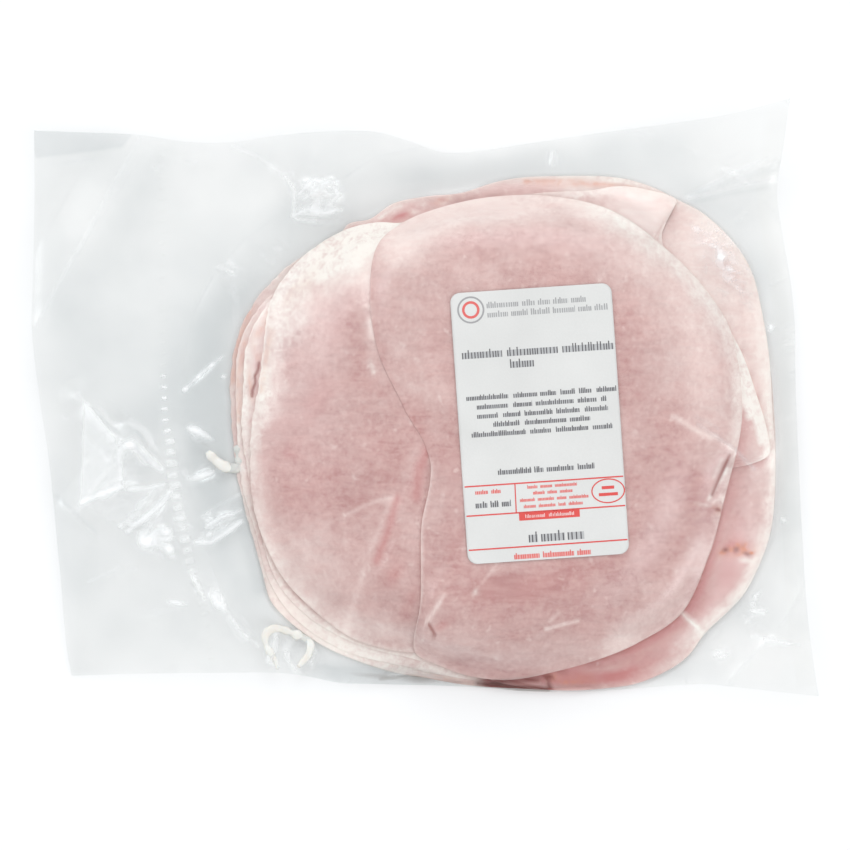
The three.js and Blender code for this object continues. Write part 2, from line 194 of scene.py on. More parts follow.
SLICES = [
    {"name": "ham_slice_01", "shift": 0.3, "pale": 0.6,
     "edge": [(-43.6, 50.5), (-50, 46.2), (-60.7, 34.8), (-67.8, 20.5), (-69.6, 6.2), (-69.3, -8),
         (-67.1, -29.5), (-61.5, -50.9), (-58, -63.4), (-55.2, -73), (-48.4, -80.8), (-38.4, -88),
         (-25.3, -94), (-12, -98.4), (-1, -100.6), (10, -102.5), (31.4, -104.4), (55.3, -104.2),
         (83.9, -93.9), (108.9, -73.3), (123.2, -47.3), (125.6, -33), (125.3, -8), (121.7, 18.7),
         (105.3, 45.5), (69.6, 61.6), (19.6, 65.2), (-19.6, 61.6)],
     "keep": {0: 0.6, 140: 0.4, 200: 0.25, 230: 0.2, 265: 0.25, 300: 0.6},
     "rim": {0: 5, 60: 3, 120: 4, 150: 4, 170: 5, 195: 7, 215: 13, 235: 14, 255: 10, 290: 5, 330: 5},
     "white": {0: 0.8, 90: 0.4, 150: 0.4, 185: 0.35, 215: 0.75, 240: 0.85, 262: 0.6, 275: 0.1, 310: 0.4},
     "ragged": {115: 0, 140: 0.22, 195: 0.2, 210: 0},
     "lip": {0: 0.2, 140: 0.05, 200: 0.05, 230: 0.2},
     "spots": {
        "tan": [([(-62, 33), (-67, 20), (-69, 6)], 1.2, 0.45), (5, -101, 12, 2, -8, 0.4),
            (-50, -78, 26, 9, -50, 0.1)],
        "red": [([(-57, 38), (-64, 27)], 1.6, 0.3), (-68, -16, 12, 1.6, 94, 0.25),
            ([(4, -99), (16, -101.5)], 1.6, 0.35), (62, -103, 30, 3, 4, 0.9), (-52, -76, 22, 8, -50, 0.06),
            (-20, -94, 22, 5, -20, 0.12)],
        # painted shade in the recess at the pile's bottom edge
        "shade_and_brown": [(28.5, -103.2, 12, 2.8, -6, 1.7), (54, -104.4, 14, 1.6, 2, 0.4),
            (10, -102.4, 9, 1.2, -8, 0.3)],
     },
    },
    {"name": "ham_slice_02", "shift": 1.7, "pale": 0.55,
     "edge": [(-37.5, 52.7), (-53.5, 38.4), (-62.2, 28.4), (-66.6, 18.7), (-68.2, 4.5), (-67.4, -11.6),
         (-65.9, -29.5), (-60.4, -49.1), (-56, -65.9), (-47.4, -78.6), (-30.3, -90), (-10.5, -95.8),
         (16.1, -101), (48.2, -101.5), (80.3, -90.1), (105.3, -68.7), (120.3, -43.7), (123.5, -15.2),
         (120.3, 13.4), (101.7, 45.5), (62.5, 65.2), (12.5, 66.9), (-16.1, 64.1)],
     "keep": {0: 0.5, 120: 0.3, 160: 0.3, 200: 0.14, 225: 0.08, 260: 0.12, 290: 0.4},
     "rim": {0: 4, 90: 3, 150: 3.4, 180: 4, 200: 4, 225: 8, 250: 7, 300: 3},
     "white": {0: 0.6, 90: 0.3, 150: 0.5, 180: 0.55, 205: 0.45, 230: 0.85, 260: 0.7},
     "ragged": {115: 0, 140: 0.22, 195: 0.2, 210: 0},
     "lip": {0: 0.2, 140: 0.05, 200: 0.05, 230: 0.2},
     "cast_shadow": {0: 0.3, 130: 0.15, 160: 0.12, 185: 0.2, 205: 0.06, 225: 0.0, 265: 0.04, 290: 0.3},
     "spots": {
        "red": [([(-58, 33), (-63.4, 24), (-66, 12)], 1.3, 0.35), (-64, -24, 14, 1.6, 95, 0.35),
            (60, -101.6, 30, 3, 4, 0.9), (-46, -80, 22, 8, -50, 0.06)],
        "tan": [([(-64.6, 20), (-66.8, 8), (-66.8, -8)], 1.1, 0.4), (-46, -80, 24, 8, -50, 0.08)],
        "pale": [(-52, -72, 14, 5, 125, 0.25)],
        # painted shade in the recess at the pile's bottom edge
        "shade_and_brown": [(28.5, -102.4, 12, 2.8, -6, 1.7), (52, -102.6, 14, 1.6, 2, 0.4)],
     },
    },
    {"name": "ham_slice_03", "shift": 2.9, "pale": 0.5,
     "edge": [(-33.9, 52.7), (-50, 40.2), (-59, 29.8), (-63.9, 18.7), (-65.2, 4.5), (-65.6, -11.6),
         (-63, -29.5), (-59, -49.1), (-53.1, -66.2), (-44, -76.6), (-26.8, -87.3), (-5.4, -93.7),
         (23.2, -99.4), (55.3, -95.5), (87.5, -75.9), (108.9, -47.3), (114.2, -15.2), (108.9, 17),
         (87.5, 45.5), (51.8, 61.6), (5.4, 64.1)],
     "keep": {0: 0.5, 130: 0.3, 165: 0.45, 190: 0.3, 215: 0.12, 260: 0.15, 290: 0.4},
     "rim": {0: 3, 90: 2, 150: 3.6, 180: 4.6, 200: 3, 225: 5, 270: 4},
     "white": {0: 0.6, 90: 0.3, 145: 0.5, 175: 0.75, 200: 0.5, 230: 0.8, 260: 0.6},
     "ragged": {115: 0, 140: 0.22, 195: 0.2, 210: 0},
     "lip": {0: 0.2, 140: 0.05, 200: 0.05, 230: 0.2},
     "cast_shadow": {0: 0.3, 130: 0.12, 150: 0.1, 168: 0.25, 185: 0.2, 205: 0.05, 225: 0.0, 265: 0.04, 290: 0.3},
     "spots": {
        "tan": [(-63, -34, 16, 1.2, 97, 0.2), ([(-55, 32), (-60.5, 22)], 1.0, 0.5),
            (-62.6, 4, 7, 1.2, 96, 0.55), (-60.4, 16, 5, 1.0, 110, 0.4)],
        # painted shade in the cleft
        "shade_and_brown": [
            ([(-59.4, 12.4), (-59.9, 9.6), (-60.9, 7.8), (-60.7, 5.4), (-61.8, 2.6), (-61.9, 0.6)], 0.6, 0.95)],
        "fat": [(-64.4, 8, 10, 1.4, 92, 0.4)],
        "red": [(-62, 18, 8, 1.2, 105, 0.3), (-63.4, -12, 8, 1.4, 92, 0.4)],
     },
    },
    {"name": "ham_slice_04", "shift": 4.1, "pale": 0.4, "buried": True,
     "edge": [(-50, 4), (-46, 30), (-30, 48), (0, 58), (44, 60), (84, 44), (105, 12), (108, -30), (92, -66),
         (58, -88), (14, -92), (-22, -80), (-42, -52), (-50, -24)],
     "rim": {0: 2, 180: 2},
     "spots": {},
    },
    {"name": "ham_slice_05", "shift": 5.2, "pale": 0.4, "buried": True,
     "edge": [(-44, 8), (-38, 36), (-18, 52), (16, 60), (56, 56), (90, 38), (107, 6), (106, -34), (88, -70),
         (50, -90), (8, -90), (-24, -72), (-42, -34)],
     "rim": {0: 2, 180: 2},
     "spots": {},
    },
    {"name": "ham_slice_06", "shift": 6.6, "pale": 0.58,
     "edge": [(-28.6, 61.2), (-19.6, 64.1), (-11.4, 69.8), (0.4, 72.3), (12.5, 73.5), (24.3, 76.9),
         (36.1, 78.8), (53.5, 79.6), (69.6, 78.7), (80.3, 75.9), (90.7, 70.9), (99.2, 66.6), (108.9, 58),
         (116.7, 46.2), (121.4, 28.4), (123.9, 9.8), (125.2, -15.2), (125.4, -33), (123.2, -50.9),
         (114.6, -69.6), (107.8, -77.2), (100.6, -84.4), (93.2, -93.7), (77.2, -102.2), (62.5, -104.3),
         (41.1, -104.6), (19.6, -99.5), (-3, -78), (-23.2, -22.3), (-30.3, 27.7)],
     "keep": {0: 0.45, 60: 0.4, 110: 0.35, 270: 0.5, 320: 0.4},
     "rim": {0: 4, 25: 5, 45: 4, 60: 3, 75: 6, 90: 2, 120: 2, 200: 1, 290: 2.4, 305: 4.6, 320: 5, 335: 3.6,
         350: 3},
     "white": {0: 0.8, 12: 0.75, 25: 0.4, 50: 0.4, 68: 0.8, 80: 0.4, 100: 0.1, 120: 0.3, 130: 0.5, 200: 0.1,
         285: 0.05, 300: 0.2, 312: 0.5, 322: 0.65, 335: 0.55, 350: 0.7},
     "flush": {0: 0.4, 12: 0.15, 30: 0.0, 60: 0.0, 90: 0.15, 125: 0.4, 250: 0.5, 275: 0.7, 300: 0.75,
         322: 0.8, 335: 0.6, 350: 0.42},
     "spots": {
        "red": [(-7, 66, 8, 3, 20, 0.35), ([(16, 71.5), (30, 74.5), (48, 74.2)], 1.1, 0.25),
            ([(-12, 64), (-4, 67.6)], 0.8, 0.5), ([(24, 76), (38, 76.6), (58, 76)], 0.8, 0.2),
            (6, 70.5, 4, 1.2, 15, 0.6), (97, -74, 9, 7, 52, 0.6), (80, -95, 22, 7, 25, 0.65),
            (54, -101, 30, 4, 2, 0.8), (108, -64, 11, 8, 65, 0.5), (111.6, -53.4, 7, 3.4, 0, 0.4),
            (110, -48, 15, 7.5, 80, 0.4)],
        "fat": [([(-16, 64.6), (-9, 68.6)], 0.8, 0.5), ([(-6, 65), (0, 69.4)], 0.9, 0.45),
            ([(3, 68), (9, 71.6)], 0.8, 0.4), (115, -58.3, 3.4, 1.3, -8, 0.6),
            ([(92, -77), (99.5, -84.5)], 0.9, 0.75), (105, -87, 10, 2.4, 48, 0.4)],
        "tan": [([(36, 77.4), (56, 77.2), (74, 74.8)], 1.0, 0.7), (6, 70.8, 4, 1.1, 15, 0.5),
            ([(44, -100), (50, -101.8), (60, -101)], 1.2, 0.6), (106.6, -55.4, 1.8, 1.1, 10, 1.0),
            (109.2, -54.2, 1.5, 1.2, 40, 1.0), (111.9, -53, 1.7, 1.2, 0, 1.0),
            (114.2, -54.4, 1.5, 1.2, -30, 1.0), (117, -55.6, 1.8, 1.0, 10, 0.9),
            (112.2, -56, 1.6, 0.9, 20, 0.8), (115, -52.4, 1.2, 0.8, 30, 0.8),
            (111.5, -54.4, 7.5, 3.0, 4, 0.45)],
        # painted shade at the bottom edge, and the brown cores of the browned specks
        "shade_and_brown": [(37, -104.2, 10, 1.8, -4, 1.4),
            ([(25, -101.6), (33, -101.4), (40, -100.8), (45, -99.8)], 1.1, 1.0),
            ([(43.8, -99.4), (44.8, -104.8)], 0.9, 0.7), (54, -103.8, 12, 1.4, 2, 0.45),
            (107.4, -54.4, 1.6, 1.1, 10, 0.9), (111.3, -54.3, 1.5, 1.3, 60, 0.95),
            (115.2, -55.9, 1.9, 1.0, -20, 0.8), (113.6, -53, 1.0, 0.8, 0, 0.35)],
        # the ones up the right side are painted glare of the film over the meat
        "pale": [(37, -102.8, 5, 0.9, -4, 0.4), (112, -38, 14, 6, 80, -0.22), (120, -4, 5, 24, 0, 0.4),
            (104, 50, 16, 14, -50, 0.7), (108, 34, 6, 20, 14, 0.6), (118, 18, 6, 24, 0, 0.7)],
     },
    },
    {"name": "ham_slice_07", "shift": 7.5, "pale": 0.66, "soft": 0.2,
     "edge": [(-8.9, 56.2), (16.1, 68.7), (41.1, 73.4), (59.6, 74.4), (69.6, 75.9), (80.3, 74.6),
         (90.3, 70.9), (87.1, 64.4), (84.8, 58.4), (86, 51.9), (94.6, 38.4), (106, 27.7), (111.7, 18.7),
         (115, 11.6), (118.2, 2.7), (121, -6.2), (122.6, -13), (123.2, -20.4), (116, -24), (106, -26),
         (96, -34), (76.8, -68.7), (41.1, -84.8), (5.4, -68.7), (-12.5, -29.5), (-16.1, 24.1)],
     "keep": {0: 0.4, 40: 0.45, 60: 0.3, 100: 0.3, 180: 0.3, 330: 0.05, 350: 0.1},
     "rim": {0: 3.6, 4: 4.6, 9: 6.4, 16: 6.4, 22: 4.6, 30: 3, 50: 2, 60: 3, 75: 3, 90: 2, 180: 1, 354: 0.4,
         357: 1.8},
     "white": {0: 1.0, 18: 1.0, 26: 0.8, 36: 0.5, 50: 0.3, 75: 0.6, 90: 0.3, 180: 0.1, 345: 0.0, 354: 0.3,
         357: 0.9},
     "flush": {0: 0.5, 10: 0.4, 25: 0.05, 40: 0.0, 300: 0.5, 350: 0.45},
     "lip": {0: 0.25, 20: 0.25, 320: 0.0, 352: 0.0},
     "cast_shadow": {0: 0.25, 20: 0.2, 45: 0.1, 62: 0.1, 90: 0.3, 320: 0.0, 352: 0.0},
     "spots": {
        "red": [(113, -10, 10, 5, 80, 0.2)],
        # most of these are painted glare of the film and painted light over the shadow of the slice above
        "pale": [(118, -18, 6, 10, 0, 0.15), (80, 66, 16, 9, -20, 0.62), (100, 34, 8, 16, 40, 0.5)],
     },
    },
    {"name": "ham_slice_08", "shift": 8.4, "pale": 0.4, "buried": True,
     "edge": [(-36, 0), (-30, 30), (-10, 50), (26, 56), (60, 48), (84, 24), (92, -14), (80, -52), (50, -76),
         (10, -80), (-18, -64), (-34, -30)],
     "rim": {0: 2, 180: 2},
     "spots": {},
    },
    {"name": "ham_slice_09", "shift": 9.8, "pale": 0.2,
     "edge": [(1.8, 66), (-8.6, 62.5), (-16.8, 62.7), (-28.2, 60.2), (-40, 53.7), (-48.2, 46.2),
         (-55.3, 34.8), (-57.8, 18.7), (-59.6, 4), (-62.2, -11.6), (-61.8, -36.6), (-58.2, -50.9),
         (-51.4, -64.1), (-43.2, -73), (-27.5, -85.5), (-16.8, -89.4), (-4.6, -91.2), (19.6, -90),
         (48.2, -79.4), (76.8, -43.7), (88, -0.9), (78, 33), (51.8, 56), (23.2, 64)],
     "keep": {0: 0.5, 110: 0.25, 140: 0.3, 170: 0.4, 190: 0.45, 230: 0.5, 270: 0.4},
     "rim": {0: 2, 90: 5, 118: 10, 130: 15, 145: 12, 160: 9, 172: 6.5, 185: 4, 200: 2.6, 240: 2.2,
         270: 1.4},
     "ragged": {120: 0, 150: 0.16, 190: 0.16, 205: 0},
     "white": {0: 0.3, 90: 0.5, 115: 0.92, 130: 0.95, 145: 0.8, 160: 0.6, 175: 0.58, 190: 0.35, 210: 0.4,
         270: 0.3},
     "cast_shadow": {0: 0.3, 130: 0.04, 160: 0.08, 172: 0.2, 200: 0.32, 270: 0.3},
     "spots": {
        "fat": [(-27, 51, 15, 9, 35, 0.95), ([(-57.6, 10), (-58.6, 0)], 1.2, 0.6),
            ([(-19.4, 12.6), (-18.4, 9)], 0.9, 0.5), ([(-11.4, 9), (-8.4, 3), (-7.4, -1.6)], 0.8, 0.5)],
        # some are painted sheen of the film over the meat, and some painted light on the slope falling to the
        # slice's edge
        "pale": [(-38, 39, 16, 10, 50, 0.4), (-14, 50, 10, 14, 80, 0.6), (-40, 14, 20, 9, 75, 0.12),
            (-52, -10, 10, 30, 4, 0.02),
            ([(-60.4, -22), (-58.5, -40), (-54, -54), (-47, -65), (-38, -74), (-26, -82)], 3.6, 0.36),
            (-19, 42, 8, 13, 84, 0.55), (-17, 20, 7, 18, 0, 0.3), (-14, -84, 20, 7, -14, 0.5),
            (-36, -58, 20, 14, -45, 0.4), ([(-19, 27), (-18.4, 22)], 1.7, 0.7),
            ([(-21, 33), (-15, 30.5)], 0.8, 0.4),
            ([(-11.5, -35.6), (-15, -44), (-19, -53), (-22.5, -64), (-26, -76), (-28.6, -83.4)], 1.3, 0.22),
            ([(-11.5, -35.6), (-17, -36.8), (-22.5, -39), (-28.5, -42)], 0.8, 0.3),
            (-40, -64, 16, 9, -45, 0.12)],
        "red": [(-59, -14, 14, 3, 92, 0.15), (-54, -2, 12, 4, 86, 0.15), (-40, -2, 10, 6, 60, 0.2),
            (-48, -20, 4, 3, 0, 0.25), ([(1, -18.4), (-2, -26), (-3, -35)], 2.2, 0.4),
            ([(-10, -36), (-13, -47), (-17, -58)], 1.6, 0.4), (-11, -63, 7, 3.4, 60, 0.3),
            (-5, -72, 8, 3, 70, 0.2), (-36, -30, 18, 10, 60, 0.1)],
        "tan": [([(-55, 24), (-57.4, 12), (-58.6, 2)], 0.9, 0.35), (-45, 40, 9, 1.4, 48, 0.35)],
        # painted shadow along the edge of the slice above
        "shade_and_brown": [([(1.5, -24), (0.6, -32), (-0.6, -42), (-1, -60), (-1, -82)], 0.7, 0.25)],
     },
    },
    {"name": "ham_slice_10", "shift": 11.3, "pale": 0.2,
     "edge": [(-8.6, 61.9), (6.4, 68.7), (28.2, 72.3), (47.1, 71.9), (66, 67.3), (85, 54.1), (106, 30.9),
         (111.7, 13.4), (112.8, -8), (107.8, -33), (101.4, -55.9), (92.1, -76.2), (76.8, -87.4),
         (62, -93.6), (46.8, -98), (30, -101), (13.9, -99.2), (4.2, -95.8), (-3.6, -91.2), (-1.6, -72.3),
         (-1.4, -47.3), (1.8, -23), (-7.5, -3.4), (-16.8, 16.2), (-19.6, 36.6), (-16.8, 54.4)],
     "keep": {0: 0.55, 60: 0.5, 95: 0.4, 125: 0.15, 160: 0.06, 185: 0.1, 200: 0.3, 240: 0.4, 290: 0.75,
         330: 0.7},
     "rim": {0: 4.4, 20: 5, 45: 6, 65: 5, 80: 2, 100: 1.5, 180: 1, 250: 2, 270: 0.8, 330: 1.2},
     "white": {0: 0.35, 20: 0.55, 45: 0.65, 65: 0.5, 80: 0.2, 100: 0.1, 180: 0.0, 240: 0.2, 270: 0.0,
         330: 0.1},
     "lip": {0: 0.1, 90: 0.1, 130: 0.0, 185: 0.0, 205: 0.5, 235: 0.4, 270: 0.15, 320: 0.2},
     "cast_shadow": {0: 0.25, 18: 0.1, 40: 0.05, 60: 0.15, 90: 0.3, 120: 0.02, 185: 0.02, 200: 0.25, 235: 0.25,
         262: 0.3, 275: 0.4, 320: 0.5, 345: 0.4},
     "spots": {
        # several are painted glare of the film and painted light on slopes near the edge; negative ones darken
        "pale": [(22, 67, 46, 9, 4, 0.95), (-10, 54, 12, 12, 60, 0.5), (2, 61, 22, 9, 32, 0.55),
            (60, 66, 16, 6, -25, 0.45), (24, 44, 40, 10, 0, 0.13), (84, 42, 32, 18, -52, 0.5),
            (101, 8, 12, 30, 4, 0.42), (98, -42, 10, 12, -14, -0.12), (-2, 2, 5, 12, 60, 0.2),
            (86, 11, 11, 12, 0, 0.2), (96, -31, 8, 9, 0, -0.22), (70, -58, 10, 8, 0, -0.14),
            (79, -69, 7, 6, 30, 0.2), (70, -88, 11, 4, 20, 0.25), (10, -54, 6, 14, 0, -0.2),
            (28, -68, 18, 6, 0, -0.5), (14, -87, 24, 8, -8, 0.38),
            ([(98, -54), (90, -70), (80, -80), (68, -87)], 5, 0.35), (-8, 30, 10, 30, 4, 0.16),
            (52, -90, 44, 7, 12, 0.12), ([(102.6, -37.4), (105.4, -35.4), (108, -37)], 0.9, 0.5),
            ([(88, -6.6), (97, -12), (103, -15)], 1.1, 0.5),
            ([(43, -82.3), (49, -80.6), (54.3, -79.4)], 0.7, 0.6),
            ([(44, -79.6), (47.6, -76.4)], 0.6, 0.35), ([(17.9, -69), (24, -61), (27, -57)], 0.7, 0.3),
            ([(7, -70), (0.4, -80)], 0.8, 0.5)],
        "fat": [(68, 62, 10, 5, -28, 0.35), ([(107.6, -25.6), (104.6, -30.4), (101, -36.4)], 0.8, 0.5),
            ([(105.6, -22), (102.6, -28.6)], 0.7, 0.3), ([(96, -37.6), (101.4, -38.6)], 0.6, 0.2),
            (17.9, -69, 2.2, 1.2, 60, 0.4)],
        # painted shade in the tear and small splits
        "shade_and_brown": [([(108.4, -20.6), (106, -26), (102.2, -34.6)], 0.7, 0.85),
            (104.4, -40, 1.8, 0.9, -20, 0.95), ([(1.4, -80.6), (3.6, -84.4)], 0.6, 0.8),
            (68.2, -84, 1.2, 0.5, -30, 0.6)],
        "tan": [(104.4, -40, 3.2, 1.8, -20, 0.4)],
        "red": [(6, -81, 4, 2.2, 30, 0.4), (38, -66, 22, 6, 10, 0.12), (40, -98, 30, 2.2, 4, 0.1)],
     },
    },
]


def inside_of(layer, x, y):
    radius, angle = polar(x, y)
    return reach_at(layer["line"], angle) - radius


def thickness_at(layer, inside, angle):
    """Full in the middle and thinner at the edge, where a buried slice is pressed flat."""
    keep = ring_value(layer.get("keep", {0: RIM_KEEP}), angle)
    thick = SLICE * (keep + (1 - keep) * smooth(inside / CROWN))
    return thick * (0.2 + 0.8 * smooth(inside / 14)) if layer.get("buried") else thick


def stroke(x, y, points, width):
    """A soft line: 1 along its middle, fading out at about its half width."""
    return np.exp(-(line_distance(points, x, y)[0] / width) ** 2)


for layer in SLICES:
    layer["line"] = curve_through(layer["edge"], closed=True)

RADIUS, ANGLE = polar(X, Y)
OUTER = np.max([reach_at(layer["line"], ANGLE) for layer in SLICES], axis=0)
BEYOND = RADIUS - OUTER         # how far a cell lies outside the pile

# ---- the pouch's margin: the same waves, creases and lifted corners as its solid ---------

FILM_GAP = 1.2
MARGIN = {"height": 4.2, "wave": 1.3, "wave_x": 27, "wave_y": 34}
CREASES = [
    ((-102, 93), (-139, 26), 2.6, 13),
    ((-124, 0), (-107, -17), 2.4, 8),
    ((-107, -17), (-124, -40), 2.2, 8),
    ((-107, -17), (-80, -30), 1.6, 8),
    ((93, 72), (129, 85), 1.8, 8),
    ((-48, 80), (-28, 64), 2.0, 9),
    ((-60, -76), (-46, -98), 1.8, 7),
]
CORNERS = [
    ((-139.8, 95.5), 3.5, 42),
    ((130.3, 106.8), 6.0, 50),
    ((140.7, -106.8), 2.5, 45),
    ((-126.7, -99.8), -1.6, 40),
]


def distance_to(start, end, x, y):
    """Distance from a straight, its share run along it, and the side it lies on."""
    dx, dy = end[0] - start[0], end[1] - start[1]
    length = dx * dx + dy * dy
    part = np.clip(((x - start[0]) * dx + (y - start[1]) * dy) / length, 0, 1)
    away = np.hypot(x - start[0] - part * dx, y - start[1] - part * dy)
    side = np.where((y - start[1]) * dx - (x - start[0]) * dy >= 0, 1.0, -1.0)
    return away, part, side


def margin_height(x, y):
    wave = np.sin(x / MARGIN["wave_x"]) * np.cos(y / MARGIN["wave_y"])
    height = MARGIN["height"] + MARGIN["wave"] * wave
    for start, end, rise, reach in CREASES:
        away = distance_to(start, end, x, y)[0]
        height = height + rise * np.clip(1 - away / reach, 0, 1)
    for at, rise, reach in CORNERS:
        away = np.hypot(x - at[0], y - at[1])
        height = height + rise * np.clip(1 - away / reach, 0, 1) ** 2
    return height


def line_distance(points, x, y):
    """Signed distance from a bent line (left of it is +), and the share run along it."""
    best = np.full(x.shape, 1e9)
    signed = np.zeros(x.shape)
    share = np.zeros(x.shape)
    spans = len(points) - 1
    for k, (start, end) in enumerate(zip(points, points[1:])):
        away, part, side = distance_to(start, end, x, y)
        nearer = away < best
        best = np.where(nearer, away, best)
        signed = np.where(nearer, away * side, signed)
        share = np.where(nearer, (k + part) / spans, share)
    return signed, share


def fold(x, y, points, rise, left, right, taper=0.35):
    """A fold in film: two flat flanks that meet in a crest, dying away at both ends."""
    signed, share = line_distance(points, x, y)
    flank = np.where(signed > 0, signed / left, -signed / right)
    crest = np.clip(1 - flank, 0, 1)
    crest = crest - 0.12 * np.exp(-(flank / 0.12) ** 2)
    ends = smooth(share / taper) * smooth((1 - share) / taper)
    return rise * crest * ends


# every fold: its line, its height, and the width of its left and right flank
FOLDS = [
    ([(-99, 90), (-104.4, 81.4), (-127, 48.4), (-139, 28)], 0.45, 6, 14),
    ([(-122.8, -1), (-116, -10), (-107.5, -17.5)], 2.6, 3, 13),
    ([(-109.5, -29), (-108, -20), (-103.5, -15), (-98, -22), (-94.5, -26)], 2.2, 3.5, 2.2),
    ([(-119.5, -38), (-110, -31.5), (-97, -31.5)], 1.6, 2, 6),
    ([(-91.5, -33), (-97, -41), (-104.5, -48)], 1.8, 2.2, 5),
    ([(-110, -44), (-104, -45.5), (-98, -44)], 1.0, 2, 2),
    ([(-102, -55), (-96, -48), (-90, -47)], 1.8, 3, 3),
    ([(-101, -50), (-92, -54), (-89, -60)], 1.5, 3, 3),
    ([(-92, -73), (-86, -74)], 0.8, 1.5, 1.5),
    ([(-86.5, -10), (-81, -12), (-75.5, -15)], 1.3, 2.2, 2.2),
    ([(-85, -30), (-79, -27.5), (-74, -26)], 1.3, 2.2, 2.2),
    ([(-82, -42), (-76, -46), (-64.5, -41)], 1.2, 2.2, 2.2),
    ([(-64.5, -41), (-74, -43), (-82, -52)], 1.1, 2.2, 2.5),
    ([(-77.5, -68), (-75, -74), (-70, -76)], 1.2, 1.8, 1.8),
    ([(-84, -62), (-79, -72)], 1.0, 1.8, 1.8),
    ([(-72, -75), (-66, -84), (-60.5, -89)], 1.0, 2.5, 4),
    ([(-118, -68), (-108, -62), (-98, -60)], 0.9, 3, 6),
    ([(-86, 2.9), (-79, 9.5), (-72.6, 15)], 0.8, 1.8, 1.8),
    ([(-47, 78), (-38, 74), (-27, 72)], 1.6, 3, 3),
    ([(-44, 68), (-36, 76), (-30, 79)], 1.2, 2, 2),
    ([(-48, 66.5), (-38, 65.5), (-28, 66)], 1.2, 1.6, 2.4),
    ([(94.2, 72.5), (108, 75.8), (125, 79)], 0.35, 2.6, 2.2),
    ([(97, 76.5), (108, 82), (118.5, 88.5)], 0.3, 2, 3),
    ([(103.5, 54), (108, 50), (107, 46)], 0.8, 2, 2),
    ([(97, 54.5), (103, 56.5), (108, 56)], 0.6, 1, 1),
    ([(95.7, 61), (98, 58.5)], 0.8, 1.5, 1.5),
    ([(122.5, 29), (124.5, 22)], 0.8, 1.4, 1.4),
    ([(127, -42), (129.5, -46)], 0.8, 1.4, 1.4),
    ([(116.5, -69.5), (120, -74)], 0.8, 1.6, 1.2),
    ([(114.5, -82), (119, -78)], 0.8, 1.4, 1.4),
    ([(116.7, -85), (126, -87.5), (134, -88.5)], 1.0, 3, 5),
    ([(102, -90), (106, -93.5), (111, -90)], 0.9, 1.8, 1.8),
    ([(-15, -33), (-9, -50), (-17, -66), (-25, -84)], 0.7, 1.5, 2.4),
    ([(6, -10), (-2, -24), (-8, -38), (-14, -52)], 0.7, 1.4, 2.0),
    ([(97, -10), (108.5, -17.6), (117.5, -25.8)], 0.6, 1.1, 1.1),
    ([(-52, -82), (-54.6, -92), (-56, -98)], 1.0, 2, 2),
    ([(-38, -88), (-42, -98)], 1.0, 2, 2),
]

PLEATS = {"count": 30, "seed": 31, "length": (7, 20), "rise": (0.25, 0.9), "width": (0.9, 2.0)}


def pleat_lines():
    """Small pleats where the film falls from the pile, pointing away from it."""
    draw = np.random.default_rng(PLEATS["seed"])
    for _ in range(PLEATS["count"]):
        angle = draw.uniform(0, 2 * math.pi)
        start = reach_at(EDGE_LINE, angle) + draw.uniform(0.5, 3)
        length = draw.uniform(*PLEATS["length"])
        swing = draw.uniform(-0.12, 0.12)
        way = np.array([math.cos(angle), math.sin(angle)])
        side = np.array([-way[1], way[0]])
        a = PILE + way * start
        b = a + way * length * 0.5 + side * length * swing
        c = a + way * length + side * length * swing * 2.4
        width = draw.uniform(*PLEATS["width"])
        yield [tuple(a), tuple(b), tuple(c)], draw.uniform(*PLEATS["rise"]), width, width * 1.4


turns = np.linspace(-math.pi, math.pi, 361)
widest = np.max([reach_at(layer["line"], turns) for layer in SLICES], axis=0)
EDGE_LINE = np.stack([PILE[0] + widest * np.cos(turns), PILE[1] + widest * np.sin(turns)], axis=1)

# ---- lying down: the lower film, the slices on it, and the upper film ---------------------

LIFTED = smooth((BEYOND + BASE_INSET) / BASE_LIFT)
MID = margin_height(X, Y)
LOWER = 0.06 + LIFTED * np.maximum(MID - FILM_GAP / 2 + 0.25 * ripple(X, Y, 5, 26), 0.3)


def lay_slices():
    surface = LOWER + 0.1
    for number, layer in enumerate(SLICES):
        inside = inside_of(layer, X, Y)
        mask = inside > 0
        near = inside > -3
        bridged = blur(swell_up(surface, BRIDGE), BRIDGE * 0.8)
        resting = blur_within(surface, mask, 1.5)
        settled = smooth(inside / (2.5 * BRIDGE))
        under = resting + (np.maximum(bridged, resting) - resting) * settled
        under = np.where(near, np.maximum(under, surface), under)
        under = blur_within(under, near, 0.8) + 0.05
        under = under + 0.08 * (1 + ripple(X, Y, 40 + number, 55)) * smooth(inside / 12)
        layer["under"] = under
        layer["top"] = top = under + thickness_at(layer, np.maximum(inside, 0), ANGLE)
        surface = np.where(mask, top, surface)
    return surface


HAM_TOP = lay_slices()
ON_HAM = BEYOND < 0


def lay_film():
    """The upper film, pulled down over the pile and on to the lower film."""
    obstacle = np.where(ON_HAM, HAM_TOP + 0.3, LOWER + 0.25)
    free = BEYOND < 17
    margin = LOWER + LIFTED * FILM_GAP
    rim = OUTER - 1.5
    edge_height = read(HAM_TOP, PILE[0] + rim * np.cos(ANGLE), PILE[1] + rim * np.sin(ANGLE))
    fall = np.clip(BEYOND / 17, 0, 1)
    skirt = LOWER + FILM_GAP + 0.8 * (edge_height - LOWER) * (1 - fall) ** 2
    height = np.where(ON_HAM, HAM_TOP + 0.6, np.where(free, skirt, margin))
    for _ in range(420):
        mean = height.copy()
        mean[1:-1, 1:-1] += height[:-2, 1:-1] + height[2:, 1:-1] + height[1:-1, :-2] + height[1:-1, 2:]
        mean[1:-1, 1:-1] /= 5
        pulled = np.maximum(mean - 0.0027, obstacle)
        height = np.where(free, pulled, height)
    return height, obstacle


SMOOTH_FILM, OBSTACLE = lay_film()


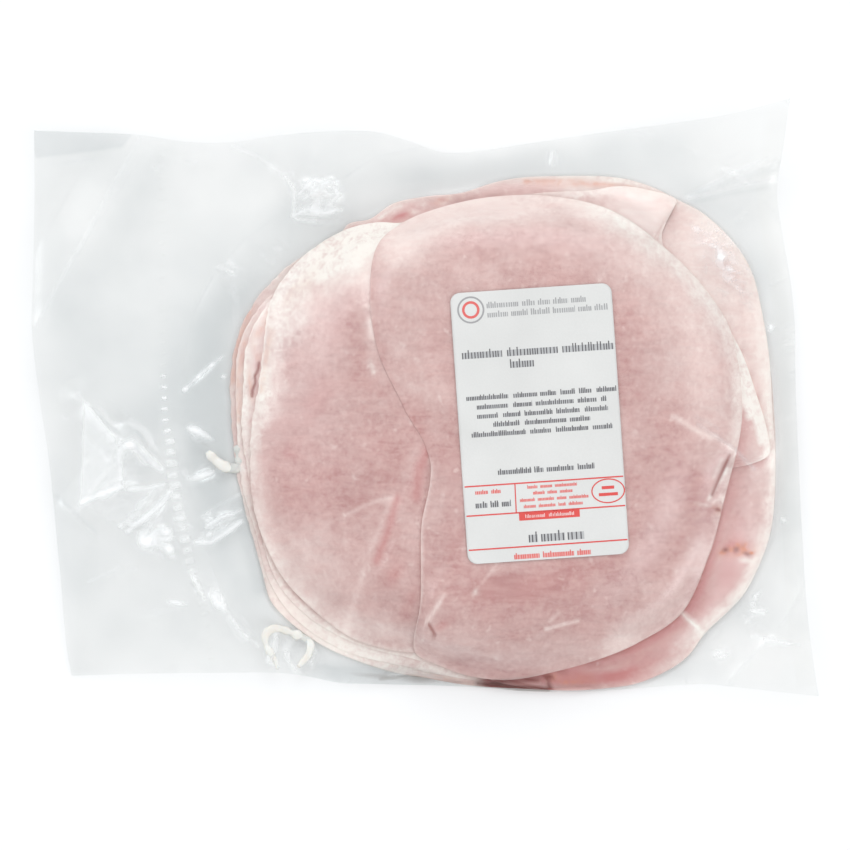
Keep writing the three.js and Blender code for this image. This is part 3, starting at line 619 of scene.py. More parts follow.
def wrinkle_film():
    height = SMOOTH_FILM.copy()
    for points, rise, left, right in FOLDS + list(pleat_lines()):
        height += fold(X, Y, points, rise, left, right)
    loose = smooth((BEYOND + 2) / 16)
    height += (0.25 * ripple(X, Y, 11, 60) + 0.05 * ripple(X, Y, 12, 18)) * loose
    return np.maximum(height, OBSTACLE)


LABEL = {"width": 57.3, "height": 96.2, "corner": 3.4, "thick": 0.15, "turn": 3.9, "x": 40.6, "y": -9.3}


def label_frame(x, y):
    """A point of the table in the label's own directions, from its middle."""
    c, s = math.cos(math.radians(LABEL["turn"])), math.sin(math.radians(LABEL["turn"]))
    dx, dy = x - LABEL["x"], y - LABEL["y"]
    return dx * c + dy * s, dy * c - dx * s


def on_table(u, v):
    c, s = math.cos(math.radians(LABEL["turn"])), math.sin(math.radians(LABEL["turn"]))
    return LABEL["x"] + u * c - v * s, LABEL["y"] + u * s + v * c


UPPER = wrinkle_film()
U, V = label_frame(X, Y)
LABEL_SKIRT = 3.0           # how far round the label the film is pulled flat
UNDER_LABEL = smooth((LABEL["width"] / 2 + LABEL_SKIRT - np.abs(U)) / LABEL_SKIRT)
UNDER_LABEL = UNDER_LABEL * smooth((LABEL["height"] / 2 + LABEL_SKIRT - np.abs(V)) / LABEL_SKIRT)
FLAT = blur(UPPER, 3.0)
UPPER = UPPER * (1 - UNDER_LABEL) + np.maximum(FLAT, OBSTACLE + 0.05) * UNDER_LABEL
LABEL_BED = blur(UPPER, 1.2) + 0.12

# ---- marks in the film --------------------------------------------------------------------
# By place and kind: shade, painted shade where the film is drawn greyer, most of it painted shadow of the pile
# and painted shade where the film turns from the light, with negative amounts as painted light; milk, where the
# film is whitened, partly whitened film and partly painted glints, highlights and sheen; and crumple, where it
# is crushed. Each is a soft oval (x, y, half length, half width, turn, amount), a line (line, half width,
# amount) or a flat facet (corners, amount).

FILM_MARKS = {
    # painted shade of the film, darkest beside the pile where it stands for the pile's shadow
    "flap_and_upper_left": {
        "shade": [([(-139.5, 85.6), (-108, 89.6), (-103, 97), (-141, 97)], 0.5),
            ([(-96, 84), (-108, 64), (-128, 37)], 6.0, 0.14), (-126, 70, 14, 18, 0, -0.2),
            (-76, 72, 30, 22, 10, -0.3), (-119, 12, 26, 20, 0, 0.14), (-98, -6, 20, 9, 20, 0.38),
            (-78, -6, 10, 38, 0, 0.86), (-72, 30, 6, 18, 0, 0.2), (-75, -38, 8, 22, 8, 0.4),
            (-69, -64, 7, 22, 30, 0.2), (-125, -60, 14, 22, 0, 0.12), (-98, -92, 36, 8, 0, -0.08),
            (-50, 66, 16, 6, 34, 0.2), ([(-66, -38), (-62.5, -54), (-58.5, -68)], 3.0, 0.5),
            (-65, 36, 5, 12, -30, 0.35), (-18, 73, 18, 8, 20, -0.22), (-54, 75, 8, 8, 0, -0.22),
            (-73, -52, 6, 14, 14, 0.15)],
        "milk": [([(-99, 89), (-104.4, 81.4), (-127, 48.4), (-138, 30)], 1.6, 0.07)],
    },
    # painted shadow of the pile round its edge, and painted light where negative
    "round_the_pile": {
        "shade": [(7, 80, 44, 5, 4, 0.25), (20, 92, 60, 6, 4, -0.1), (108, 87, 30, 20, 20, -0.26),
            (127, 30, 8, 50, 0, -0.06), (131, -66, 8, 24, 0, -0.05), (121, -92, 24, 12, 10, -0.32),
            (122, 62, 12, 20, -50, -0.2), (84, -103, 24, 3, 0, -0.2), (78, 62, 20, 12, -25, 0.22),
            (104, 48, 16, 14, -50, 0.16), (124, 50, 6, 30, 0, -0.12), (126, -62, 8, 20, 0, -0.2),
            (104, -88, 16, 7, 50, -0.25),
            ([(125, 9), (126.4, -15), (126.6, -33), (124.4, -51), (116, -70)], 3.0, -0.25),
            (-90, 12, 7, 16, 0, 0.4), (-79, 26, 8, 14, 0, 0.25), (-130, 31, 8, 12, 0, 0.3),
            (-131, -40, 6, 26, 0, 0.25), (-48, -79, 24, 8, -50, -0.14)],
        # painted light along the pile's right edge, over its shadow on the film
        "milk": [
            ([(124.8, 9), (126, -15), (126.2, -33), (124, -51), (115.5, -70), (101.6, -85)], 1.7, 0.16)],
    },
    # painted deep shade where the film meets the pile's bottom edge
    "bottom_edge": {
        "shade": [(-22, -100, 20, 5, -3, 1.0), (0, -101.4, 14, 4, -8, 1.1),
            ([(-14, -98), (-7, -96.6), (2, -98.6), (12, -102)], 0.6, 0.5),
            ([(-16, -101), (-6, -99.4), (6, -101.8)], 0.5, 0.5),
            ([(19, -102.5), (26, -103.4), (34, -104.5), (44, -105)], 1.0, 2.3),
            ([(24, -102), (30, -101.6), (41, -100.3)], 0.7, 1.6),
            ([(43.8, -99.6), (44.8, -104.8)], 0.5, 0.9), ([(-38, -96), (-24, -99), (-14, -100)], 0.8, 0.3)],
        "milk": [([(-12, -99.6), (-5, -98.2), (6, -100.6)], 0.5, 0.25)],
    },
    # whitened folds and facets of the flap, partly painted highlights where facets face the light
    "flap_folds": {
        "milk": [([(-123.2, -37.8), (-108.6, -32), (-108.6, -17.6), (-121.8, -1.2)], 0.3),
            ([(-123.2, -37.6), (-122.6, -20), (-121.8, -1.4)], 0.9, 0.14),
            ([(-122.8, -37.8), (-113.9, -43.8), (-106, -46), (-93.5, -32.4), (-108.5, -32.4)], 0.2),
            ([(-108.9, -28.5), (-109.2, -20.4), (-106.8, -17.2), (-104.4, -16.6)], 0.9, 0.4),
            ([(-105.4, -16.8), (-102.1, -18.9), (-99, -22.6), (-94.4, -25.6)], 1.2, 0.6),
            ([(-122.8, -37.6), (-116, -34.4), (-108.5, -32)], 0.7, 0.6),
            ([(-105.4, -32.6), (-100, -32.4), (-93.4, -31)], 0.6, 0.5),
            ([(-106.6, -47.6), (-99.8, -42.4), (-93.5, -37.7), (-91.2, -33)], 0.9, 0.5),
            (-100.4, -51.4, 3.0, 3.4, 30, 0.8), (-92.2, -48, 2.0, 1.4, 20, 0.8),
            (-91.6, -54, 2.0, 1.6, 0, 0.8), (-96, -50.6, 5.5, 4.6, 20, 0.35),
            (-108.9, -45.9, 1.3, 0.9, 0, 0.75), (-86.5, -45, 3.4, 26, 14, 0.1),
            ([(-131, -37.4), (-124.6, -42.8), (-117, -50)], 0.6, 0.14),
            ([(-121, -66), (-109.5, -61)], 0.6, 0.2)],
        "shade": [(-102, -25.4, 5, 4.4, -30, 0.3),
            ([(-132, -35.2), (-125.4, -41), (-118, -48.2)], 0.7, 0.35)],
        "crumple": [(-96, -51, 8, 6.4, 20, 0.7), (-86.5, -45, 4, 26, 14, 0.4)],
    },
    # painted glints and whitened streaks beside the seal
    "beside_the_seal": {
        "milk": [(-82.4, -11.8, 3.6, 1.7, -24, 0.8), (-78.4, -14, 3.6, 1.2, -24, 0.4),
            ([(-77.6, -20), (-73, -24), (-66, -25.2)], 2.4, 0.2), (-49, -90, 11, 10, 0, 0.2),
            (-79.4, -27.8, 5.4, 1.5, 16, 0.65),
            ([(-81.9, -51.6), (-76.6, -51.8), (-70.6, -48), (-66, -44.4)], 0.8, 0.6),
            ([(-78.6, -46.4), (-74, -43), (-66, -40.4)], 0.5, 0.45), (-74, -48, 7, 3, 25, 0.14),
            ([(-80, -42.6), (-74, -38.6), (-66, -34.6)], 0.5, 0.25), (-74.2, -71.6, 2.4, 4.4, 20, 0.5),
            ([(-84, -62), (-79, -72)], 0.6, 0.3), ([(-71.8, -75), (-66, -83), (-60, -89)], 0.7, 0.25),
            ([(-86, 3), (-79, 9.6), (-72.8, 14.6)], 0.6, 0.4), (-85.8, 3, 1.1, 1.0, 0, 0.8),
            (-81, 7.4, 0.9, 0.7, 40, 0.6), (-76.4, 11.6, 0.9, 0.7, 40, 0.6),
            (-72.2, 7.6, 1.0, 0.7, 20, 0.7), ([(-92, -73), (-86, -74)], 0.7, 0.4),
            (-97, -77, 9, 2.4, 10, 0.12), (-130.5, -7, 4, 3, 0, 0.12),
            ([(-69.4, 49), (-68.4, 38), (-67.4, 27)], 1.7, 0.14), (-70.6, 48.6, 1.4, 1.0, 0, 0.2),
            ([(-68.6, 90), (-60, 86.4), (-50, 79)], 0.9, 0.24), (-84, 84.6, 4.6, 1.6, -6, 0.16),
            (-96.6, 82.4, 1.4, 1.2, 0, 0.3), (-125, 84.6, 10, 1.0, 8, 0.14)],
        "shade": [(-80, -16.4, 6, 1.4, -22, 0.25), (-79, -31, 6, 1.2, 18, 0.2)],
        "crumple": [(-74.2, -71.6, 4, 6, 20, 0.6)],
    },
    # painted glints on the crushed film
    "upper_left_crush": {
        "crumple": [(-38.5, 71, 11, 6.5, 0, 0.7)],
        "milk": [(-38.5, 71, 10, 6, 0, 0.2), ([(-50, 79), (-47, 75), (-46.6, 70), (-47.4, 65.4)], 0.6, 0.4),
            ([(-47.4, 65), (-42, 67.6), (-36, 66.2), (-30, 67.4)], 0.6, 0.5),
            ([(-45, 73), (-39.6, 78), (-33.6, 76.4), (-30.6, 72.6), (-34, 69.6)], 0.6, 0.45),
            ([(-43.6, 71), (-39, 73.6), (-35.6, 72)], 0.5, 0.4), ([(-46.4, 64), (-39, 63.4)], 0.5, 0.4)],
    },
    # painted glints on creases and crushed film
    "right_creases_and_glints": {
        "milk": [([(94, 72), (108, 79.4), (122, 85.6)], 0.8, 0.24),
            ([(94, 71), (110, 75), (126, 78.4)], 0.7, 0.24), (105, 49, 13, 5, -52, 0.16),
            (97.2, 60.2, 2.2, 1.1, -45, 0.6), ([(101.4, 63), (105.6, 59.6), (110, 55)], 0.7, 0.24),
            ([(111.6, 48.6), (115, 46.4), (118, 44)], 0.7, 0.24), (105.9, 50.6, 2.2, 1.6, -60, 0.8),
            (109, 46.4, 1.4, 1.0, -50, 0.5), ([(97.4, 61), (102.6, 58.6)], 0.5, 0.35),
            ([(100, 58.6), (105.6, 55.4)], 0.6, 0.35), ([(102.4, 55), (108.4, 51.6)], 0.5, 0.4),
            ([(105, 52.6), (110.6, 48.4)], 0.6, 0.3), ([(107.6, 46.6), (113, 44.6)], 0.5, 0.4),
            ([(109.6, 42.6), (115, 41.4)], 0.6, 0.3), ([(99, 62.6), (106, 57.4), (111, 51)], 0.5, 0.2),
            (97, 57.6, 3.4, 1.6, -30, 0.22), ([(99, 55.6), (104.4, 54.2), (108, 55)], 0.5, 0.3),
            (110.4, 50.4, 3.2, 1.4, -56, 0.3), ([(106, 44.6), (112.6, 38.4), (117, 37)], 0.6, 0.22),
            ([(104, 60.6), (109, 57.6), (113.4, 51.6)], 0.5, 0.24), ([(112, 40), (116.4, 32)], 1.0, 0.2),
            (124, 25.2, 1.2, 1.4, 0, 0.7), (128.5, -43.7, 1.2, 1.4, 0, 0.4),
            ([(117.5, -74), (118.5, -70.9), (120.4, -69.4)], 0.5, 0.35),
            ([(117, -76.5), (122, -76.5)], 0.7, 0.4), ([(116.7, -85), (125, -87), (134, -88.4)], 0.6, 0.25),
            (107, -91.5, 4.5, 2.4, 0, 0.2)],
        "shade": [([(95, 73), (109, 77.4), (126, 82)], 1.4, 0.3),
            ([(94, 69.6), (108, 72.8), (124, 75.5)], 0.9, 0.3)],
        "crumple": [(106, 48, 16, 8, -52, 0.8), (107, -91.5, 7, 4, 0, 0.5), (117, -76, 5, 7, 0, 0.3)],
    },
    # painted sheen of the film over the meat
    "painted_sheen": {
        "milk": [(-48, 42, 15, 4, 50, 0.16), ([(97, -9.6), (108.6, -17.2), (117.6, -25.4)], 0.7, 0.28),
            ([(96.4, -7), (104, -11)], 0.8, 0.14), (76, 66, 12, 6, -20, 0.08)],
    },
}


def facet(x, y, corners):
    """A flat with straight sides, its corners anticlockwise: 1 inside and 0 outside."""
    inside = np.full(x.shape, 1e3)
    for start, end in zip(corners, corners[1:] + corners[:1]):
        dx, dy = end[0] - start[0], end[1] - start[1]
        inside = np.minimum(inside, ((y - start[1]) * dx - (x - start[0]) * dy) / math.hypot(dx, dy))
    return smooth(inside / 1.2 + 0.5)


def mark_of(x, y, place):
    """A flat from its corners, a line from its points and width, or else an oval."""
    if len(place) == 1:
        return facet(x, y, *place)
    if len(place) == 2:
        return stroke(x, y, *place)
    return patch(x, y, place[:2], place[2:4], place[4])


# the film's shade: its base over the table (margin) and over the meat (pile), and a painted shadow of the pile
# on the film just outside it (skirt), fading over skirt_width
FILM_SHADE = {"margin": 0.35, "pile": 0.16, "skirt": 0.12, "skirt_width": 7}


def mark_film():
    """How much painted shade, whitening with painted glints, and crumpling the upper film has over each cell.
    """
    outside = smooth((BEYOND + 1) / 2)
    base = FILM_SHADE["pile"] + (FILM_SHADE["margin"] - FILM_SHADE["pile"]) * outside
    base = base + FILM_SHADE["skirt"] * outside * np.exp(-(BEYOND / FILM_SHADE["skirt_width"]) ** 2)
    marks = {"shade": base, "milk": np.zeros(X.shape), "crumple": np.zeros(X.shape)}
    for area in FILM_MARKS.values():
        for what, places in area.items():
            for *place, amount in places:
                marks[what] = marks[what] + amount * mark_of(X, Y, place)
    # creases are whitened, partly as painted glints along them
    crease = np.abs(blur(UPPER, 0.7) - blur(UPPER, 1.6))
    marks["milk"] = marks["milk"] + 0.25 * outside * smooth(crease / 0.2 - 0.2)
    return {what: np.clip(mark, 0, 1.9) for what, mark in marks.items()}


MARKS = mark_film()

# ---- meshes ----------------------------------------------------------------------------

def put_mesh(name, points, faces, material, slot, replaced, body="root", sharp=False, **fields):
    """A mesh object from points in millimetres, with named values at its points."""
    mesh = bpy.data.meshes.new(name)
    mesh.from_pydata((np.asarray(points) * MM).tolist(), [], faces)
    mesh.validate()
    mesh.polygons.foreach_set("use_smooth", [not sharp] * len(mesh.polygons))
    for field, values in fields.items():
        attribute = mesh.attributes.new(field, "FLOAT", "POINT")
        attribute.data.foreach_set("value", np.asarray(values, np.float32))
    mesh.materials.append(material)
    piece = bpy.data.objects.new(name, mesh)
    bpy.context.scene.collection.objects.link(piece)
    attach(piece, body)
    if replaced:
        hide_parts(replaced)
    return piece


def grid_faces(rows, columns, first=0, flip=False):
    """Quads of a sheet whose points run row by row."""
    i, j = np.meshgrid(np.arange(columns - 1), np.arange(rows - 1))
    a = (first + j * columns + i).ravel()
    quads = np.stack([a, a + 1, a + columns + 1, a + columns], axis=1)
    return (quads[:, ::-1] if flip else quads).tolist()


def ring_faces(rings, spokes, first=0):
    """Quads of a sheet whose points run ring by ring, each ring closed on itself."""
    i, j = np.meshgrid(np.arange(spokes), np.arange(rings - 1))
    here, after = (first + j * spokes + i).ravel(), (first + j * spokes + (i + 1) % spokes).ravel()
    return np.stack([here, here + spokes, after + spokes, after], axis=1).tolist()


# ---- materials ---------------------------------------------------------------------------

def linear(red, green, blue):
    """A screen colour of 0-255 as the light it stands for."""
    shares = [c / 255 for c in (red, green, blue)]
    return tuple(s / 12.92 if s <= 0.04 else ((s + 0.055) / 1.055) ** 2.4 for s in shares) + (1,)


def start_group(name, inputs, outputs):
    group = bpy.data.node_groups.new(name, "ShaderNodeTree")
    for label, kind, value in inputs:
        group.interface.new_socket(label, in_out="INPUT", socket_type=kind).default_value = value
    for label, kind in outputs:
        group.interface.new_socket(label, in_out="OUTPUT", socket_type=kind)
    return group, group.nodes.new("NodeGroupInput"), group.nodes.new("NodeGroupOutput")


class Tree:
    """Short calls for adding nodes to a material or a group."""

    def __init__(self, tree):
        self.tree = tree

    def add(self, kind, links=None, **values):
        node = self.tree.nodes.new(kind)
        for key, value in values.items():
            setattr(node, key, value)
        for socket, source in (links or {}).items():
            self.set(node, socket, source)
        return node

    def set(self, node, socket, source):
        if isinstance(source, bpy.types.NodeSocket):
            self.tree.links.new(source, node.inputs[socket])
        else:
            node.inputs[socket].default_value = source

    def math(self, operation, first, second=0.0, third=0.0, clamp=False):
        links = {0: first, 1: second, 2: third}
        return self.add("ShaderNodeMath", links, operation=operation, use_clamp=clamp).outputs[0]

    def span(self, value, low, high, to_low=0.0, to_high=1.0):
        links = {"Value": value, "From Min": low, "From Max": high, "To Min": to_low, "To Max": to_high}
        return self.add("ShaderNodeMapRange", links, clamp=True).outputs["Result"]

    def mix(self, factor, first, second, blend="MIX"):
        node = self.add("ShaderNodeMix", data_type="RGBA", blend_type=blend, clamp_factor=True)
        for socket, source in ((0, factor), (6, first), (7, second)):
            self.set(node, socket, source)
        return node.outputs[2]

    def noise(self, vector, scale, detail=2.0, rough=0.5, distort=0.0, w=None):
        links = {"Vector": vector, "Scale": scale, "Detail": detail, "Roughness": rough}
        links["Distortion"] = distort
        node = self.add("ShaderNodeTexNoise", noise_dimensions="3D" if w is None else "4D")
        if w is not None:
            links["W"] = w
        for socket, source in links.items():
            self.set(node, socket, source)
        return node.outputs["Fac"]

    def bump(self, height, strength, distance):
        links = {"Height": height, "Strength": strength, "Distance": distance}
        return self.add("ShaderNodeBump", links).outputs["Normal"]

    def field(self, name):
        """A value that the mesh carries at its points."""
        return self.add("ShaderNodeAttribute", attribute_name=name).outputs["Fac"]

    def place(self):
        return self.add("ShaderNodeTexCoord").outputs["Object"]

    def use(self, group, links):
        node = self.add("ShaderNodeGroup", node_tree=group)
        for socket, source in links.items():
            self.set(node, socket, source)
        return node.outputs


def start_material(name):
    material = bpy.data.materials.new(name)
    material.use_nodes = True
    material.node_tree.nodes.clear()
    tree = Tree(material.node_tree)
    return material, tree, tree.add("ShaderNodeOutputMaterial")


def make_meat_grain():
    """Clouding, fine fibres and flecks of cooked, pressed meat."""
    inputs = [("Vector", "NodeSocketVector", (0, 0, 0)), ("Shift", "NodeSocketFloat", 0.0)]
    outputs = [(name, "NodeSocketFloat") for name in ("Cloud", "Fine", "Fibre", "Fleck", "Height")]
    group, entry, leave = start_group("meat_grain", inputs, outputs)
    tree = Tree(group)
    vector, shift = entry.outputs["Vector"], entry.outputs["Shift"]
    broad = tree.noise(vector, 38.0, 3.0, 0.55, 0.6, shift)
    small = tree.noise(vector, 170.0, 3.0, 0.6, 0.3, shift)
    fine = tree.noise(vector, 480.0, 3.0, 0.65, 0.5, shift)
    cloud = tree.math("MULTIPLY_ADD", small, 0.4, tree.math("MULTIPLY", broad, 0.6))
    strands, others = [], []
    for fibres, angle, scale in ((strands, 0.5, (90.0, 420.0, 200.0)), (others, -0.9, (110.0, 480.0, 200.0))):
        lean = tree.add("ShaderNodeMapping", {"Vector": vector, "Rotation": (0, 0, angle), "Scale": scale})
        fibres.append(tree.noise(lean.outputs["Vector"], 1.0, 2.0, 0.5, 0.8, shift))
    turn = tree.span(broad, 0.44, 0.56)
    fibre = tree.math("ADD", tree.math("MULTIPLY", strands[0], tree.math("SUBTRACT", 1.0, turn)),
                      tree.math("MULTIPLY", others[0], turn))
    fleck = tree.span(tree.noise(vector, 330.0, 1.0, 0.4, 0.0, shift), 0.66, 0.8)
    height = tree.math("ADD", tree.math("MULTIPLY", fibre, 0.5), tree.math("MULTIPLY", small, 0.6))
    for (socket, _), source in zip(outputs, (cloud, fine, fibre, fleck, height)):
        tree.set(leave, socket, source)
    return group


def make_film_crinkle():
    """Dimples of thin soft film, and the facets of film that was crushed, some of them painted white as glints.
    """
    inputs = [("Vector", "NodeSocketVector", (0, 0, 0)), ("Crumple", "NodeSocketFloat", 0.0)]
    outputs = [("Height", "NodeSocketFloat"), ("Haze", "NodeSocketFloat"), ("White", "NodeSocketFloat")]
    group, entry, leave = start_group("film_crinkle", inputs, outputs)
    tree = Tree(group)
    vector, crumple = entry.outputs["Vector"], entry.outputs["Crumple"]
    dents = tree.noise(vector, 60.0, 2.0, 0.55)
    bend = tree.add("ShaderNodeTexNoise", {"Vector": vector, "Scale": 160.0, "Detail": 0.0}).outputs["Color"]
    bend = tree.add("ShaderNodeVectorMath", {0: bend, "Scale": 0.004}, operation="SCALE").outputs["Vector"]
    bent = tree.add("ShaderNodeVectorMath", {0: vector, 1: bend}, operation="ADD").outputs["Vector"]
    cells = tree.add("ShaderNodeTexVoronoi", {"Vector": bent, "Scale": 330.0}, voronoi_dimensions="2D")
    tone = tree.add("ShaderNodeSeparateColor", {"Color": cells.outputs["Color"]}).outputs["Red"]
    facets = tree.math("MULTIPLY", cells.outputs["Distance"], crumple)
    tree.set(leave, "Height", tree.math("MULTIPLY_ADD", facets, 2.0, tree.math("MULTIPLY", dents, 0.7)))
    tree.set(leave, "Haze", tree.span(dents, 0.35, 0.7))
    # painted glints on some of the crushed facets
    tree.set(leave, "White", tree.math("MULTIPLY", tree.span(tone, 0.55, 1.0), crumple))
    return group


def make_paper_tooth():
    """The faint unevenness of coated label paper."""
    group, entry, leave = start_group("paper_tooth", [("Vector", "NodeSocketVector", (0, 0, 0))],
                                      [("Tone", "NodeSocketFloat"), ("Height", "NodeSocketFloat")])
    tree = Tree(group)
    broad = tree.noise(entry.outputs["Vector"], 40.0, 2.0, 0.5)
    tooth = tree.noise(entry.outputs["Vector"], 1500.0, 2.0, 0.6)
    tree.set(leave, "Tone", tree.math("MULTIPLY_ADD", tooth, 0.3, tree.math("MULTIPLY", broad, 0.7)))
    tree.set(leave, "Height", tooth)
    return group


MEAT_GRAIN, FILM_CRINKLE, PAPER_TOOTH = make_meat_grain(), make_film_crinkle(), make_paper_tooth()


def make_ham():
    material, tree, out = start_material("cooked_gammon")
    grain = tree.use(MEAT_GRAIN, {"Vector": tree.place(), "Shift": tree.field("shift")})
    cloud, fine, fibre, fleck = (grain[k] for k in ("Cloud", "Fine", "Fibre", "Fleck"))
    uneven = tree.math("ADD", tree.span(cloud, 0.36, 0.64, -0.17, 0.17),
                       tree.span(fine, 0.3, 0.7, -0.13, 0.13))
    # pale is the meat's paler tone, and in places painted glare of the film over it and painted light on slopes
    pale = tree.math("ADD", tree.field("pale"), uneven, clamp=True)
    colour = tree.mix(pale, linear(189, 139, 136), linear(246, 228, 222))
    colour = tree.mix(tree.span(fibre, 0.35, 0.65, 0.0, 0.3), colour, linear(232, 196, 190))
    red = tree.math("MULTIPLY", tree.field("red"), tree.span(cloud, 0.3, 0.55, 0.6, 1.0))
    colour = tree.mix(red, colour, linear(196, 106, 106))
    colour = tree.mix(tree.math("MULTIPLY", fleck, 0.35), colour, linear(247, 232, 226))
    fat_here = tree.field("fat")
    uneven = tree.math("ADD", tree.span(cloud, 0.36, 0.64, -0.3, 0.3), tree.span(fine, 0.34, 0.66, -0.3, 0.3))
    uneven = tree.math("MULTIPLY", uneven, fat_here)
    colour = tree.mix(tree.math("ADD", fat_here, uneven, clamp=True), colour, linear(250, 243, 236))
    tan = tree.math("MULTIPLY", tree.field("tan"), tree.span(fine, 0.42, 0.56, 0.35, 1.0))
    colour = tree.mix(tan, colour, linear(216, 142, 112))
    # painted shade at slices' edges, in cracks, the tear and the bottom recess, and the brown cores of browned
    # specks
    colour = tree.mix(tree.field("shade_and_brown"), colour, linear(150, 84, 78))
    links = {"Base Color": colour, "Roughness": tree.span(cloud, 0.3, 0.7, 0.34, 0.5),
             "Normal": tree.bump(grain["Height"], 0.35, 0.0006), "Specular IOR Level": 0.4}
    shader = tree.add("ShaderNodeBsdfPrincipled", links)
    tree.set(out, "Surface", shader.outputs[0])
    return material


def make_fat():
    material, tree, out = start_material("soft_white_fat")
    grain = tree.use(MEAT_GRAIN, {"Vector": tree.place(), "Shift": 3.0})
    white, cream, blush = linear(231, 231, 227), linear(222, 217, 209), linear(232, 200, 188)
    colour = tree.mix(tree.span(grain["Cloud"], 0.35, 0.65), white, cream)
    colour = tree.mix(tree.math("MULTIPLY", grain["Fleck"], 0.3), colour, blush)
    links = {"Base Color": colour, "Roughness": tree.span(grain["Cloud"], 0.3, 0.7, 0.3, 0.45),
             "Normal": tree.bump(grain["Height"], 0.4, 0.0004), "Subsurface Weight": 0.2,
             "Subsurface Radius": (1.0, 0.7, 0.5), "Subsurface Scale": 0.003}
    tree.set(out, "Surface", tree.add("ShaderNodeBsdfPrincipled", links).outputs[0])
    return material


HEAD_ON, GRAZING = 0.03, 0.95       # share of light that film throws back, seen straight on and at a slant
GLOSS_WHITE = (0.96, 0.97, 0.975, 1)
# tints of the film: clear, shaded where its painted shade is strong, and dark for the painted deep shade at the
# pile's bottom edge
TINT = {
    "clear": (0.996, 0.995, 0.991, 1),
    "shaded": (0.829, 0.845, 0.848, 1),
    "dark": (0.6, 0.585, 0.575, 1),
}


def make_film(name, gloss, strength):
    """Clear film: light passes with a faint tint, the gloss lies over it, and where it is milky it is white
    instead. The tint carries the painted shade of the marks, and the white carries their painted glints and
    sheen."""
    material, tree, out = start_material(name)
    crinkle = tree.use(FILM_CRINKLE, {"Vector": tree.place(), "Crumple": tree.field("crumple")})
    bump = tree.bump(crinkle["Height"], strength, 0.0012)
    facing = tree.add("ShaderNodeLayerWeight", {"Blend": 0.5, "Normal": bump}).outputs["Facing"]
    # whitened film and painted glints, from the marks and the crushed facets
    milk = tree.math("MULTIPLY_ADD", crinkle["White"], 0.5, tree.field("milk"))
    # the marks' painted shade, with more tint where the film is seen at a slant
    shade = tree.math("MULTIPLY_ADD", tree.math("POWER", facing, 2.0), 0.9, tree.field("shade"))
    shade = tree.math("MULTIPLY_ADD", crinkle["Haze"], 0.2, tree.math("SUBTRACT", shade, 0.1))
    tint = tree.mix(tree.span(shade, 0.0, 1.0), TINT["clear"], TINT["shaded"])
    tint = tree.mix(tree.span(shade, 1.4, 1.9), tint, TINT["dark"])
    clear = tree.add("ShaderNodeBsdfTransparent", {"Color": tint})
    rough = tree.span(crinkle["Haze"], 0.0, 1.0, gloss, gloss + 0.1)
    links = {"Base Color": GLOSS_WHITE, "Metallic": tree.span(milk, 0.0, 0.3, 1.0, 0.0),
             "Roughness": tree.math("MULTIPLY_ADD", milk, 0.3, rough, clamp=True), "Normal": bump}
    shine = tree.add("ShaderNodeBsdfPrincipled", links)
    glance = tree.math("MULTIPLY_ADD", tree.math("POWER", facing, 5.0), GRAZING, HEAD_ON)
    share = tree.math("MULTIPLY_ADD", milk, 0.8, glance, clamp=True)
    mixed = tree.add("ShaderNodeMixShader", {0: share, 1: clear.outputs[0], 2: shine.outputs[0]})
    tree.set(out, "Surface", mixed.outputs[0])
    return material


def make_under_film(name):
    """Clear film without dimples, for the sheet that shows only through the upper one."""
    material, tree, out = start_material(name)
    facing = tree.add("ShaderNodeLayerWeight", {"Blend": 0.5}).outputs["Facing"]
    shade = tree.math("MULTIPLY", tree.math("POWER", facing, 2.0), 0.9)
    clear = tree.add("ShaderNodeBsdfTransparent", {"Color": tree.mix(shade, TINT["clear"], TINT["shaded"])})
    links = {"Base Color": GLOSS_WHITE, "Metallic": 1.0, "Roughness": 0.15}
    shine = tree.add("ShaderNodeBsdfPrincipled", links)
    share = tree.math("MULTIPLY_ADD", tree.math("POWER", facing, 5.0), GRAZING, HEAD_ON, clamp=True)
    mixed = tree.add("ShaderNodeMixShader", {0: share, 1: clear.outputs[0], 2: shine.outputs[0]})
    tree.set(out, "Surface", mixed.outputs[0])
    return material


def make_paper(name, colour, roughness):
    material, tree, out = start_material(name)
    tooth = tree.use(PAPER_TOOTH, {"Vector": tree.place()})
    darker = tuple(0.93 * c for c in colour[:3]) + (1,)
    shade = tree.mix(tree.span(tooth["Tone"], 0.35, 0.65), darker, colour)
    rough = tree.span(tooth["Tone"], 0.3, 0.7, roughness - 0.05, roughness + 0.08)
    links = {"Base Color": shade, "Roughness": rough, "Specular IOR Level": 0.4,
             "Normal": tree.bump(tooth["Height"], 0.12, 0.0002)}
    tree.set(out, "Surface", tree.add("ShaderNodeBsdfPrincipled", links).outputs[0])
    return material


HAM, FAT = make_ham(), make_fat()
FILM = make_film("clear_pouch_film", 0.1, 0.14)
UNDER_FILM = make_under_film("clear_under_film")
SEAL_FILM = make_film("pressed_seal_film", 0.14, 0.05)
PAPER = make_paper("coated_label_paper", linear(220, 220, 218), 0.45)
INK = {
    "grey": make_paper("grey_thermal_print", linear(164, 163, 164), 0.5),
    "dark": make_paper("dark_thermal_print", linear(92, 90, 93), 0.5),
    "red": make_paper("red_label_print", linear(221, 84, 80), 0.42),
    "light_red": make_paper("light_red_label_print", linear(223, 108, 104), 0.42),
    "white": make_paper("blank_in_red_bar", linear(240, 214, 212), 0.45),
}
WASH = {
    "grey": make_paper("thin_grey_print", linear(211, 212, 211), 0.5),
    "dark": make_paper("thin_dark_print", linear(186, 187, 188), 0.5),
    "red": make_paper("thin_red_print", linear(228, 176, 172), 0.42),
    "light_red": make_paper("thin_light_red_print", linear(227, 164, 160), 0.42),
    "white": make_paper("thin_blank_in_red_bar", linear(230, 140, 136), 0.45),
}

